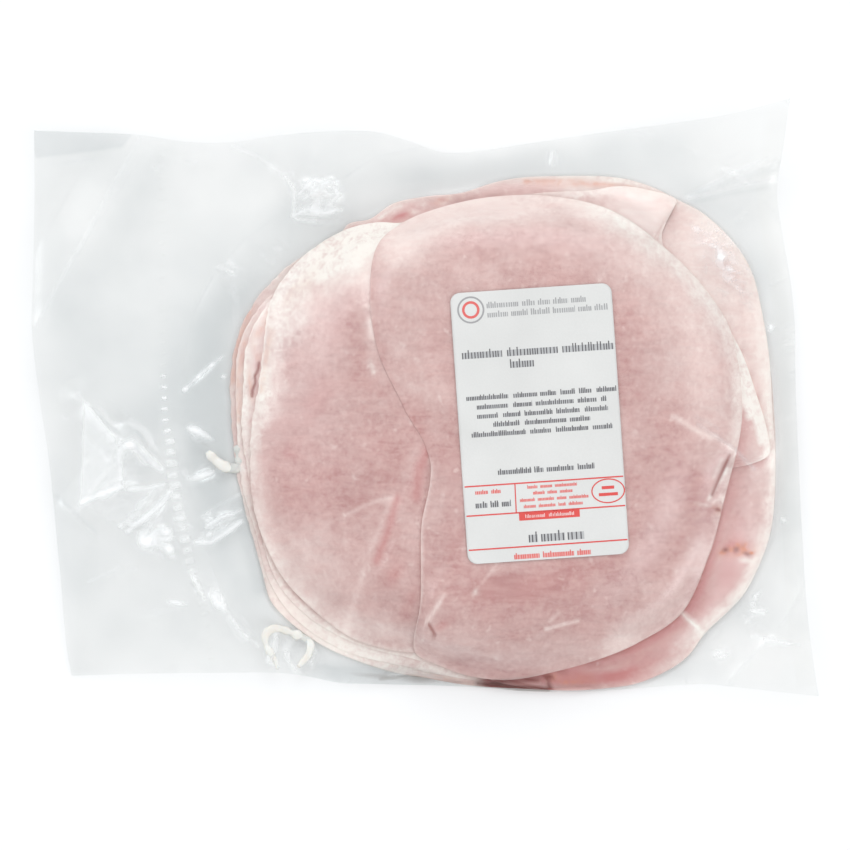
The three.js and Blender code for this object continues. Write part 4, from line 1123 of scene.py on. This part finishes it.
# ---- the slices as meshes ------------------------------------------------------------------

def spots_of(layer, x, y, angle, inside):
    """How pale, fat, red and tan the slice is at its points, and how dark with painted shade and brown."""
    seed = int(layer["shift"] * 10)
    uneven = 1 + 0.16 * ripple(x, y, seed, 30) + 0.14 * ripple(x, y, seed + 1, 8)
    width = np.maximum(ring_value(layer["rim"], angle) * uneven, 0.1)
    white = ring_value(layer.get("white", {0: 0.3}), angle)
    lip = ring_value(layer.get("lip", {0: 0.25}), angle)
    masks = {
        "pale": layer["pale"] + lip * np.exp(-inside / 0.8) + 0.05 * ripple(x, y, seed + 2, 45),
        "fat": white * smooth(0.4 + 0.85 * (1 - inside / width) / layer.get("soft", 1)),
        "red": np.zeros(x.shape),
        "tan": np.zeros(x.shape),
        "shade_and_brown": np.zeros(x.shape),
    }
    for what, places in layer["spots"].items():
        for *place, amount in places:
            masks[what] = masks[what] + amount * mark_of(x, y, place)
    flush = ring_value(layer.get("flush", {0: 0}), angle)
    for upper in SLICES[SLICES.index(layer) + 1:]:
        if not upper.get("buried"):
            beside = inside_of(upper, x, y)
            # painted shadow: each slice darkens the slices under it along its edge
            cast_shadow = ring_value(upper.get("cast_shadow", {0: 0.35}), angle)
            masks["shade_and_brown"] = np.maximum(masks["shade_and_brown"], cast_shadow * np.exp(-(beside / 0.8) ** 2))
            masks["red"] = np.maximum(masks["red"], flush * np.exp(-(beside / 5.5) ** 2))
    return {what: np.clip(mask, 0, 1) for what, mask in masks.items()}


INSETS = [0.75, 1.6, 3, 5, 7.5, 10.5]
# from the top, over the edge, to the underside
ROUND = np.radians([0, 22, 45, 68, 90, 112, 135, 158, 180])


def build_slice(layer, spokes, core):
    angle = np.linspace(-math.pi, math.pi, spokes, endpoint=False)
    reach = reach_at(layer["line"], angle) + 0.18 * ripple(angle * 20, angle * 7, 20 + int(layer["shift"]), 9)
    ragged = ring_value(layer.get("ragged", {0: 0}), angle)
    reach = reach + ragged * ripple(angle * 95, angle * 9, 70 + int(layer["shift"]), 4.4, 9)
    rings = []

    def add_ring(inset, turn):
        """One ring: turn is 0 on the top face, 180 degrees on the underside."""
        radius = reach - inset
        x, y = PILE[0] + radius * np.cos(angle), PILE[1] + radius * np.sin(angle)
        thick = thickness_at(layer, np.broadcast_to(inset, angle.shape), angle)
        height = read(layer["under"], x, y) + thick * (0.5 + 0.5 * math.cos(turn))
        rings.append((x, y, height, np.broadcast_to(inset, x.shape)))

    for part in np.linspace(0.04, 1, core):
        add_ring((1 - part) * (reach - INSETS[-1]) + INSETS[-1], 0.0)
    for inset in INSETS[-2::-1]:
        add_ring(inset, 0.0)
    for turn in ROUND[1:-1]:
        add_ring(RIM_ROUND * (1 - math.sin(turn)), turn)
    for inset in INSETS[::2]:
        add_ring(inset, math.pi)
    add_ring(0.92 * reach, math.pi)
    x, y, z, inside = (np.concatenate([ring[k] for ring in rings]) for k in range(4))
    count = len(rings)
    faces = ring_faces(count, spokes)
    middle_top, middle_low = len(x), len(x) + 1
    around = np.arange(spokes)
    after = (around + 1) % spokes
    last = (count - 1) * spokes
    faces += [[middle_top, int(a), int(b)] for a, b in zip(around, after)]
    faces += [[middle_low, int(last + b), int(last + a)] for a, b in zip(around, after)]
    under = float(read(layer["under"], PILE[:1], PILE[1:])[0])
    x, y = np.append(x, [PILE[0]] * 2), np.append(y, [PILE[1]] * 2)
    z = np.append(z, [under + SLICE, under])
    inside = np.append(inside, [reach.mean()] * 2)
    masks = spots_of(layer, x, y, polar(x, y)[1], inside)
    put_mesh(layer["name"], np.stack([x, y, z], axis=1), faces, HAM, "ham", "pouch",
             shift=np.full(x.shape, layer["shift"]), **masks)


def refine_slice(name, patch_name, left, right, low, high):
    """A finer patch of a slice's top, where its marks are smaller than its mesh shows."""
    layer = next(layer for layer in SLICES if layer["name"] == name)
    x, y = np.meshgrid(np.arange(left, right, PATCH_STEP), np.arange(low, high, PATCH_STEP))
    angle, inside = polar(x, y)[1], inside_of(layer, x, y)
    z = read(layer["under"], x, y) + thickness_at(layer, inside, angle) + PATCH_RISE
    faces = np.array(grid_faces(*x.shape))
    whole = (inside.ravel() > RIM_ROUND)[faces].all(axis=1)
    used, faces = np.unique(faces[whole], return_inverse=True)
    masks = {what: mask.ravel()[used] for what, mask in spots_of(layer, x, y, angle, inside).items()}
    points = np.stack([x.ravel(), y.ravel(), z.ravel()], axis=1)[used]
    put_mesh(patch_name, points, faces.reshape(-1, 4).tolist(), HAM, "ham", "pouch",
             shift=np.full(len(used), layer["shift"]), **masks)


PATCH_STEP, PATCH_RISE = 0.3, 0.05
DENSITY = {"buried": (200, 14), "low": (460, 20), "mid": (600, 70), "top": (640, 108)}    # spokes and rings

for number, layer in enumerate(SLICES):
    level = "low" if number < 3 else "mid" if number < 7 else "top"
    build_slice(layer, *DENSITY["buried" if layer.get("buried") else level])
refine_slice("ham_slice_10", "torn_edge_patch", 95, 109, -42, -20)
refine_slice("ham_slice_06", "browned_spots_patch", 104, 119.5, -59, -50.5)
refine_slice("ham_slice_03", "cleft_patch", -63.2, -58.6, -3, 15)

# ---- loose strands of fat --------------------------------------------------------------------

def build_strand(name, points, girth, flat):
    """A soft strand lying between the films, thinner towards its ends."""
    line, ways = along_curve(curve_through(points), 46)
    sides = 14
    share = np.linspace(0, 1, len(line))
    body = girth * (0.35 + 0.65 * np.sin(math.pi * np.clip(share, 0.02, 0.98)) ** 0.5)
    body = body * (1 + 0.2 * ripple(line[:, 0], line[:, 1], 8, 5))
    low = read(LOWER, line[:, 0], line[:, 1]) + 0.15
    turn = np.linspace(0, 2 * math.pi, sides, endpoint=False)
    side = np.stack([-ways[:, 1], ways[:, 0]], axis=1)
    x = line[:, :1] + side[:, :1] * body[:, None] * np.cos(turn)
    y = line[:, 1:2] + side[:, 1:2] * body[:, None] * np.cos(turn)
    z = low[:, None] + body[:, None] * flat * (1 + np.sin(turn))
    count = len(line)
    points = np.stack([x.ravel(), y.ravel(), z.ravel()], axis=1)
    faces = ring_faces(count, sides)
    for end, flip in ((0, False), (count - 1, True)):
        ring = [end * sides + k for k in range(sides)]
        faces.append(ring[::-1] if flip else ring)
    put_mesh(name, points, faces, FAT, "fat", "pouch")
    return x, y, z


STRANDS = [
    ("fat_strand", [(-78, -19.4), (-75.4, -22.2), (-72, -24.6), (-68.4, -25.4), (-63, -25)], 1.8, 0.5),
    ("fat_strand_tip", [(-67.6, -17), (-66.8, -20), (-66.6, -24.4)], 1.5, 0.5),
    ("fat_loop", [(-52.4, -97.2), (-54.6, -92.5), (-57, -88), (-57, -84.6), (-53.6, -82.6), (-47.4, -84.6),
                  (-41.4, -87.6), (-41.4, -91.4), (-45.4, -96.4)], 1.5, 0.45),
]
for strand in STRANDS:
    build_strand(*strand)

# ---- the film ---------------------------------------------------------------------------------

SIDES = {side: curve_through(points) for side, points in POUCH_SIDES.items()}


def pouch_grid(u, v):
    """Points of a sheet that fills the pouch's outline, row by row from its bottom side."""
    bottom, top = (along_curve(SIDES[side], u)[0][None] for side in ("bottom", "top"))
    left, right = (along_curve(SIDES[side][::-1], v)[0][:, None] for side in ("left", "right"))
    u, v = u[None, :, None], v[:, None, None]
    straight = (1 - v) * bottom + v * top + (1 - u) * left + u * right
    corners = ((1 - u) * (1 - v) * bottom[:, :1] + u * (1 - v) * bottom[:, -1:]
               + (1 - u) * v * top[:, :1] + u * v * top[:, -1:])
    return straight - corners


FLAP = 0.33                 # share of the pouch's length where the film's cells are finer
FILM_U = np.concatenate([np.linspace(0, FLAP, 176, endpoint=False), np.linspace(FLAP, 1, 207)])
FILM_V = np.linspace(0, 1, 259)


def build_film():
    """The two sheets, drawn nearly together towards their edge."""
    length, width, joined = 270, 200, 4
    sheet = pouch_grid(FILM_U, FILM_V)
    x, y = sheet[..., 0], sheet[..., 1]
    low = read(LOWER, x, y)
    high = read(UPPER, x, y)
    from_side = np.minimum(FILM_U, 1 - FILM_U)[None, :] * length
    from_end = np.minimum(FILM_V, 1 - FILM_V)[:, None] * width
    near = smooth(np.minimum(from_side, from_end) / joined)
    middle = (low + high) / 2
    high = middle + (high - middle) * np.maximum(near, 0.05)
    low = middle + (low - middle) * np.maximum(near, 0.05)
    upper = np.stack([x, y, high], axis=-1).reshape(-1, 3)
    marks = {what: read(mark, x, y).ravel() for what, mark in MARKS.items()}
    put_mesh("film_upper_sheet", upper, grid_faces(len(FILM_V), len(FILM_U)), FILM, "film", "pouch", **marks)
    x, y, low = x[::2, ::2], y[::2, ::2], low[::2, ::2]
    lower = np.stack([x, y, low], axis=-1).reshape(-1, 3)
    put_mesh("film_lower_sheet", lower, grid_faces(*x.shape, flip=True), UNDER_FILM, "film", "pouch")


build_film()

SEAL_LINE = [(-94, 92.6), (-94, 40), (-93.4, 4), (-92.8, -8.4), (-91.2, -17), (-90.2, -28.5), (-87.2, -45.5),
             (-82.6, -64.4), (-79.4, -75), (-76, -97.8)]
SEAL = {"pitch": 3.95, "width": 2.4, "length": 1.3, "rise": 0.34, "clear": 0.03, "milky": 0.75}


def build_seal():
    """The pressed seal across the mouth: a row of short raised ribs, whitest in the middle."""
    line, ways = along_curve(curve_through(SEAL_LINE), 2000)
    length = np.linalg.norm(np.diff(line, axis=0), axis=1).sum()
    count = int(length / SEAL["pitch"])
    cells = np.linspace(-1, 1, 9)
    a, b = np.meshgrid(cells, cells)
    dome = np.clip(1 - a ** 2, 0, 1) * np.clip(1 - b ** 2, 0, 1)
    draw = np.random.default_rng(4)
    points, faces, milk = [], [], []
    for k in range(count):
        index = int((k + 0.5) * SEAL["pitch"] / length * 1999)
        (x0, y0), way = line[index], ways[index]
        crushed = smooth((-8 - y0) / 14) * smooth((y0 + 84) / 20)
        wide = SEAL["width"] / 2 * draw.uniform(0.85, 1.15) * (1 + 0.9 * crushed)
        long = SEAL["length"] / 2 * (1 + 1.1 * crushed)
        x = x0 + a * wide * way[1] + b * long * way[0]
        y = y0 - a * wide * way[0] + b * long * way[1]
        z = read(UPPER, x, y) + 0.04 + SEAL["rise"] * dome
        faces += grid_faces(9, 9, first=81 * k)
        points.append(np.stack([x.ravel(), y.ravel(), z.ravel()], axis=1))
        strength = SEAL["milky"] * smooth((12 - y0) / 8) * (1 - 0.45 * crushed) * draw.uniform(0.7, 1.0)
        strength *= smooth((y0 + 84) / 44)
        milk.append((SEAL["clear"] + strength) * dome.ravel() ** 0.5)
    put_mesh("mouth_seal", np.vstack(points), faces, SEAL_FILM, "film", "pouch", milk=np.concatenate(milk))


def build_end_seam():
    """The welded strip along the pouch's closed end, with its fine cross ribs."""
    steps, rows, keep = 420, 24, 8
    line, ways = along_curve(SIDES["right"], steps)
    side = np.stack([ways[:, 1], -ways[:, 0]], axis=1)
    inward = side if side[:, 0].mean() < 0 else -side
    across = np.linspace(0.3, 7.2, rows)
    x = line[:, :1] + inward[:, :1] * across
    y = line[:, 1:] + inward[:, 1:] * across
    rib = 0.03 * np.sin(across * 2 * math.pi / 1.6)[None, :] * smooth((7 - across) / 0.8)[None, :]
    z = read(UPPER, x, y) + 0.1 + rib
    points = np.stack([x.ravel(), y.ravel(), z.ravel()], axis=1)
    faces = grid_faces(steps - 2 * keep, rows, flip=True)
    put_mesh("end_seam", points[keep * rows:-keep * rows], faces, SEAL_FILM, "film", "pouch")


build_seal()
build_end_seam()

# ---- the label and its print ---------------------------------------------------------------------

def build_label():
    """A rounded slip of paper on the film: its two faces and its cut edge."""
    half_w, half_h, corner = LABEL["width"] / 2, LABEL["height"] / 2, LABEL["corner"]
    bends = corner * (1 - np.cos(np.radians(np.linspace(0, 90, 9))))
    v = np.concatenate([-half_h + bends, np.linspace(-half_h + corner, half_h - corner, 78)[1:-1],
                        (half_h - bends)[::-1]])
    beyond = np.clip(np.abs(v) - (half_h - corner), 0, corner)
    width = half_w - corner + np.sqrt(corner ** 2 - beyond ** 2)
    u = np.linspace(-1, 1, 52)[None, :] * width[:, None]
    v = np.broadcast_to(v[:, None], u.shape)
    x, y = on_table(u, v)
    low = read(LABEL_BED, x, y)
    rows, columns = u.shape
    top = np.stack([x, y, low + LABEL["thick"]], axis=-1).reshape(-1, 3)
    under = np.stack([x, y, low], axis=-1).reshape(-1, 3)
    faces = grid_faces(rows, columns) + grid_faces(rows, columns, first=rows * columns, flip=True)
    rim = ([k for k in range(columns)] + [r * columns + columns - 1 for r in range(1, rows)]
           + [(rows - 1) * columns + k for k in range(columns - 2, -1, -1)]
           + [r * columns for r in range(rows - 2, 0, -1)])
    shift = rows * columns
    faces += [[b, a, a + shift, b + shift] for a, b in zip(rim, rim[1:] + rim[:1])]
    put_mesh("scale_label", np.vstack([top, under]), faces, PAPER, "label", "label")


PRINT_RISE = 0.02


class Print:
    """Shapes of one ink, laid flat on the label."""

    def __init__(self, rise):
        self.rise = rise
        self.points, self.faces = [], []

    def strip(self, rows):
        """A strip of quads between two lines of points in the label's own frame."""
        first = sum(len(p) for p in self.points)
        low, high = rows
        uv = np.vstack([low, high])
        x, y = on_table(uv[:, 0], uv[:, 1])
        z = read(LABEL_BED, x, y) + LABEL["thick"] + self.rise
        self.points.append(np.stack([x, y, z], axis=1))
        self.faces += grid_faces(2, len(low), first=first)

    def bar(self, left, right, middle, height, slope=0.0):
        count = max(2, int((right - left) / 1.5) + 2)
        u = np.linspace(left, right, count)
        v = middle + slope * (u - left)
        self.strip((np.stack([u, v - height / 2], 1), np.stack([u, v + height / 2], 1)))

    def ring(self, at, radii, width, count=56):
        turn = np.linspace(0, 2 * math.pi, count)
        rows = []
        for grow in (0, -width):
            u = at[0] + (radii[0] + grow) * np.cos(turn)
            v = at[1] + (radii[1] + grow) * np.sin(turn)
            rows.append(np.stack([u, v], 1))
        self.strip(rows)


def plain_words(ink, wash, draw, words, middle, height):
    """Words as rows of short upright ticks on a paler bar, with no letters in them."""
    base, body = middle - height / 2, 0.72 * height
    thin = 0.12 if height > 3 else 0.17         # a tick's width for its height
    for left, right in words:
        wash.bar(left, right, base + body / 2, body)
        at = left
        while at < right:
            tall = height * draw.choice([0.72, 0.72, 0.72, 1.0])
            ink.bar(at, min(at + thin * height, right), base + tall / 2, tall)
            at += height * draw.uniform(0.26, 0.44)


TEXT = [
    ("grey", 2.2, 43.1, [(-15.9, -4.5), (-3.3, 1.1), (2.3, 6.5), (7.7, 13.0), (14.1, 19.3)]),
    ("grey", 2.2, 39.8, [(-15.8, -8.6), (-7.4, -1.6), (-0.4, 6.2), (7.4, 15.2), (16.4, 21.2), (22.2, 26.9)]),
    ("dark", 3.1, 26.1, [(-25.8, -11.6), (-9.8, 8.2), (9.8, 28.0)]),
    ("dark", 3.1, 21.9, [(-9.0, -0.6)]),
    ("dark", 1.9, 10.7, [(-25.3, -10.5), (-8.6, -0.2), (0.9, 6.6), (8.1, 13.3), (14.7, 19.1), (20.9, 27.9)]),
    ("dark", 1.9, 7.4, [(-21.8, -10.7), (-8.9, -2.2), (-0.9, 12.5), (14.0, 20.7), (22.3, 24.2)]),
    ("dark", 1.9, 4.1, [(-21.9, -14.5), (-12.7, -6.5), (-5.1, 4.8), (6.2, 14.4), (16.3, 24.5)]),
    ("dark", 1.9, 0.9, [(-16.4, -7.0), (-5.2, 9.5), (10.8, 18.0)]),
    ("dark", 1.9, -2.4, [(-24.3, -5.1), (-3.5, 3.8), (5.6, 17.1), (18.7, 25.8)]),
    ("dark", 2.1, -16.1, [(-15.9, -4.0), (-3.0, 0.2), (1.4, 11.0), (12.4, 18.3)]),
    ("red", 1.6, -22.8, [(-24.4, -20.0), (-18.7, -15.4)]),
    ("dark", 2.3, -27.3, [(-24.6, -20.3), (-19.3, -16.3), (-15.3, -12.1)]),
    ("light_red", 1.3, -22.1, [(-5.9, -2.3), (-1.3, 2.9), (3.9, 11.7)]),
    ("light_red", 1.3, -24.3, [(-4.0, 0.1), (1.1, 4.5), (5.5, 10.0)]),
    ("light_red", 1.3, -26.6, [(-8.8, -3.5), (-2.5, 3.3), (4.3, 7.7), (8.7, 15.5)]),
    ("light_red", 1.3, -28.9, [(-7.6, -3.3), (-2.3, 3.7), (4.7, 7.3), (8.3, 13.3)]),
    ("white", 1.3, -32.4, [(-7.3, -0.3), (1.1, 10.0)]),
    ("dark", 3.7, -39.9, [(-6.6, -3.4), (-2.2, 6.2), (7.2, 13.0)]),
    ("light_red", 2.2, -46.3, [(-12.2, -3.2), (-2.0, 9.1), (10.2, 15.0)]),
]
RULES = [-20.6, -31.0, -43.1]


def build_print():
    inks = {colour: Print(PRINT_RISE * 2) for colour in INK}
    washes = {colour: Print(PRINT_RISE) for colour in WASH}
    draw = np.random.default_rng(17)
    for level in RULES:
        inks["red"].bar(-28.1, 28.3, level, 0.5)
    right = np.array([(-10.2, -30.9), (-10.0, -20.7)])
    inks["red"].strip((right, right - (0.4, 0)))
    inks["red"].bar(-9.5, 12, -32.4, 2.9)
    inks["red"].ring((22.6, -25.4), (6.0, 4.4), 0.45)
    inks["red"].bar(20.4, 24.8, -24.2, 1.1)
    inks["red"].bar(19.2, 26.0, -26.6, 1.1)
    inks["grey"].ring((-21.6, 41.8), (4.8, 4.8), 0.6)
    inks["light_red"].ring((-21.6, 41.8), (3.1, 3.1), 0.9)
    for colour, height, level, words in TEXT:
        plain_words(inks[colour], washes[colour], draw, words, level, height)
    for colour in INK:
        over = PRINT_RISE if colour == "white" else 0.0
        for layer, prints, name in ((inks, INK, "print_"), (washes, WASH, "print_wash_")):
            ink = layer[colour]
            points = np.vstack(ink.points) + (0, 0, over)
            put_mesh(name + colour, points, ink.faces, prints[colour], "label", "label")


build_label()
build_print()

# ---- floor, lights and camera -----------------------------------------------------------------------

def build_floor():
    mesh = bpy.data.meshes.new("floor")
    reach = 4.0
    corners = [(-reach, -reach, 0), (reach, -reach, 0), (reach, reach, 0), (-reach, reach, 0)]
    mesh.from_pydata(corners, [], [(0, 1, 2, 3)])
    material, tree, out = start_material("pale_table")
    links = {"Base Color": (0.9, 0.9, 0.9, 1), "Roughness": 0.8, "Specular IOR Level": 0.1}
    tree.set(out, "Surface", tree.add("ShaderNodeBsdfPrincipled", links).outputs[0])
    mesh.materials.append(material)
    floor = bpy.data.objects.new("floor", mesh)
    bpy.context.scene.collection.objects.link(floor)


# broad soft lights as glows in the pale world: the way to each, its strength and its tightness
GLOWS = [
    ((0.10, 0.84, 0.54), 3.6, 24),
    ((-0.80, 0.22, 0.56), 3.6, 24),
    ((0.74, -0.42, 0.52), 3.8, 24),
    ((0.0, 0.05, 1.0), 0.32, 8),
]
WORLD_BASE = 0.635


def light_scene():
    world = bpy.data.worlds.new("pale_studio")
    bpy.context.scene.world = world
    world.use_nodes = True
    tree = Tree(world.node_tree)
    backdrop = world.node_tree.nodes["Background"]
    way = tree.add("ShaderNodeTexCoord").outputs["Generated"]
    total = WORLD_BASE
    for aim, strength, tightness in GLOWS:
        aim = np.array(aim) / np.linalg.norm(aim)
        links = {0: way, 1: tuple(aim)}
        facing = tree.add("ShaderNodeVectorMath", links, operation="DOT_PRODUCT").outputs["Value"]
        glow = tree.math("EXPONENT", tree.math("MULTIPLY_ADD", facing, tightness, -tightness))
        total = tree.math("MULTIPLY_ADD", glow, strength, total)
    backdrop.inputs["Color"].default_value = (0.975, 0.988, 1.0, 1)
    tree.set(backdrop, "Strength", total)


def place_camera():
    """Straight above the pack, with the photograph's framing."""
    view_width, height, level = 0.3035, 2.0, 0.010
    camera = bpy.data.cameras.new("camera")
    camera.sensor_width = 36.0
    camera.lens = 36.0 * (height - level) / view_width
    camera.clip_start, camera.clip_end = 0.1, 20
    holder = bpy.data.objects.new("camera", camera)
    holder.location = (0, -0.0098, height)
    bpy.context.scene.collection.objects.link(holder)
    bpy.context.scene.camera = holder


build_floor()
light_scene()
place_camera()
bpy.context.scene.view_settings.view_transform = "Standard"
bpy.context.scene.view_settings.look = "None"
bpy.context.scene.cycles.transparent_max_bounces = 24
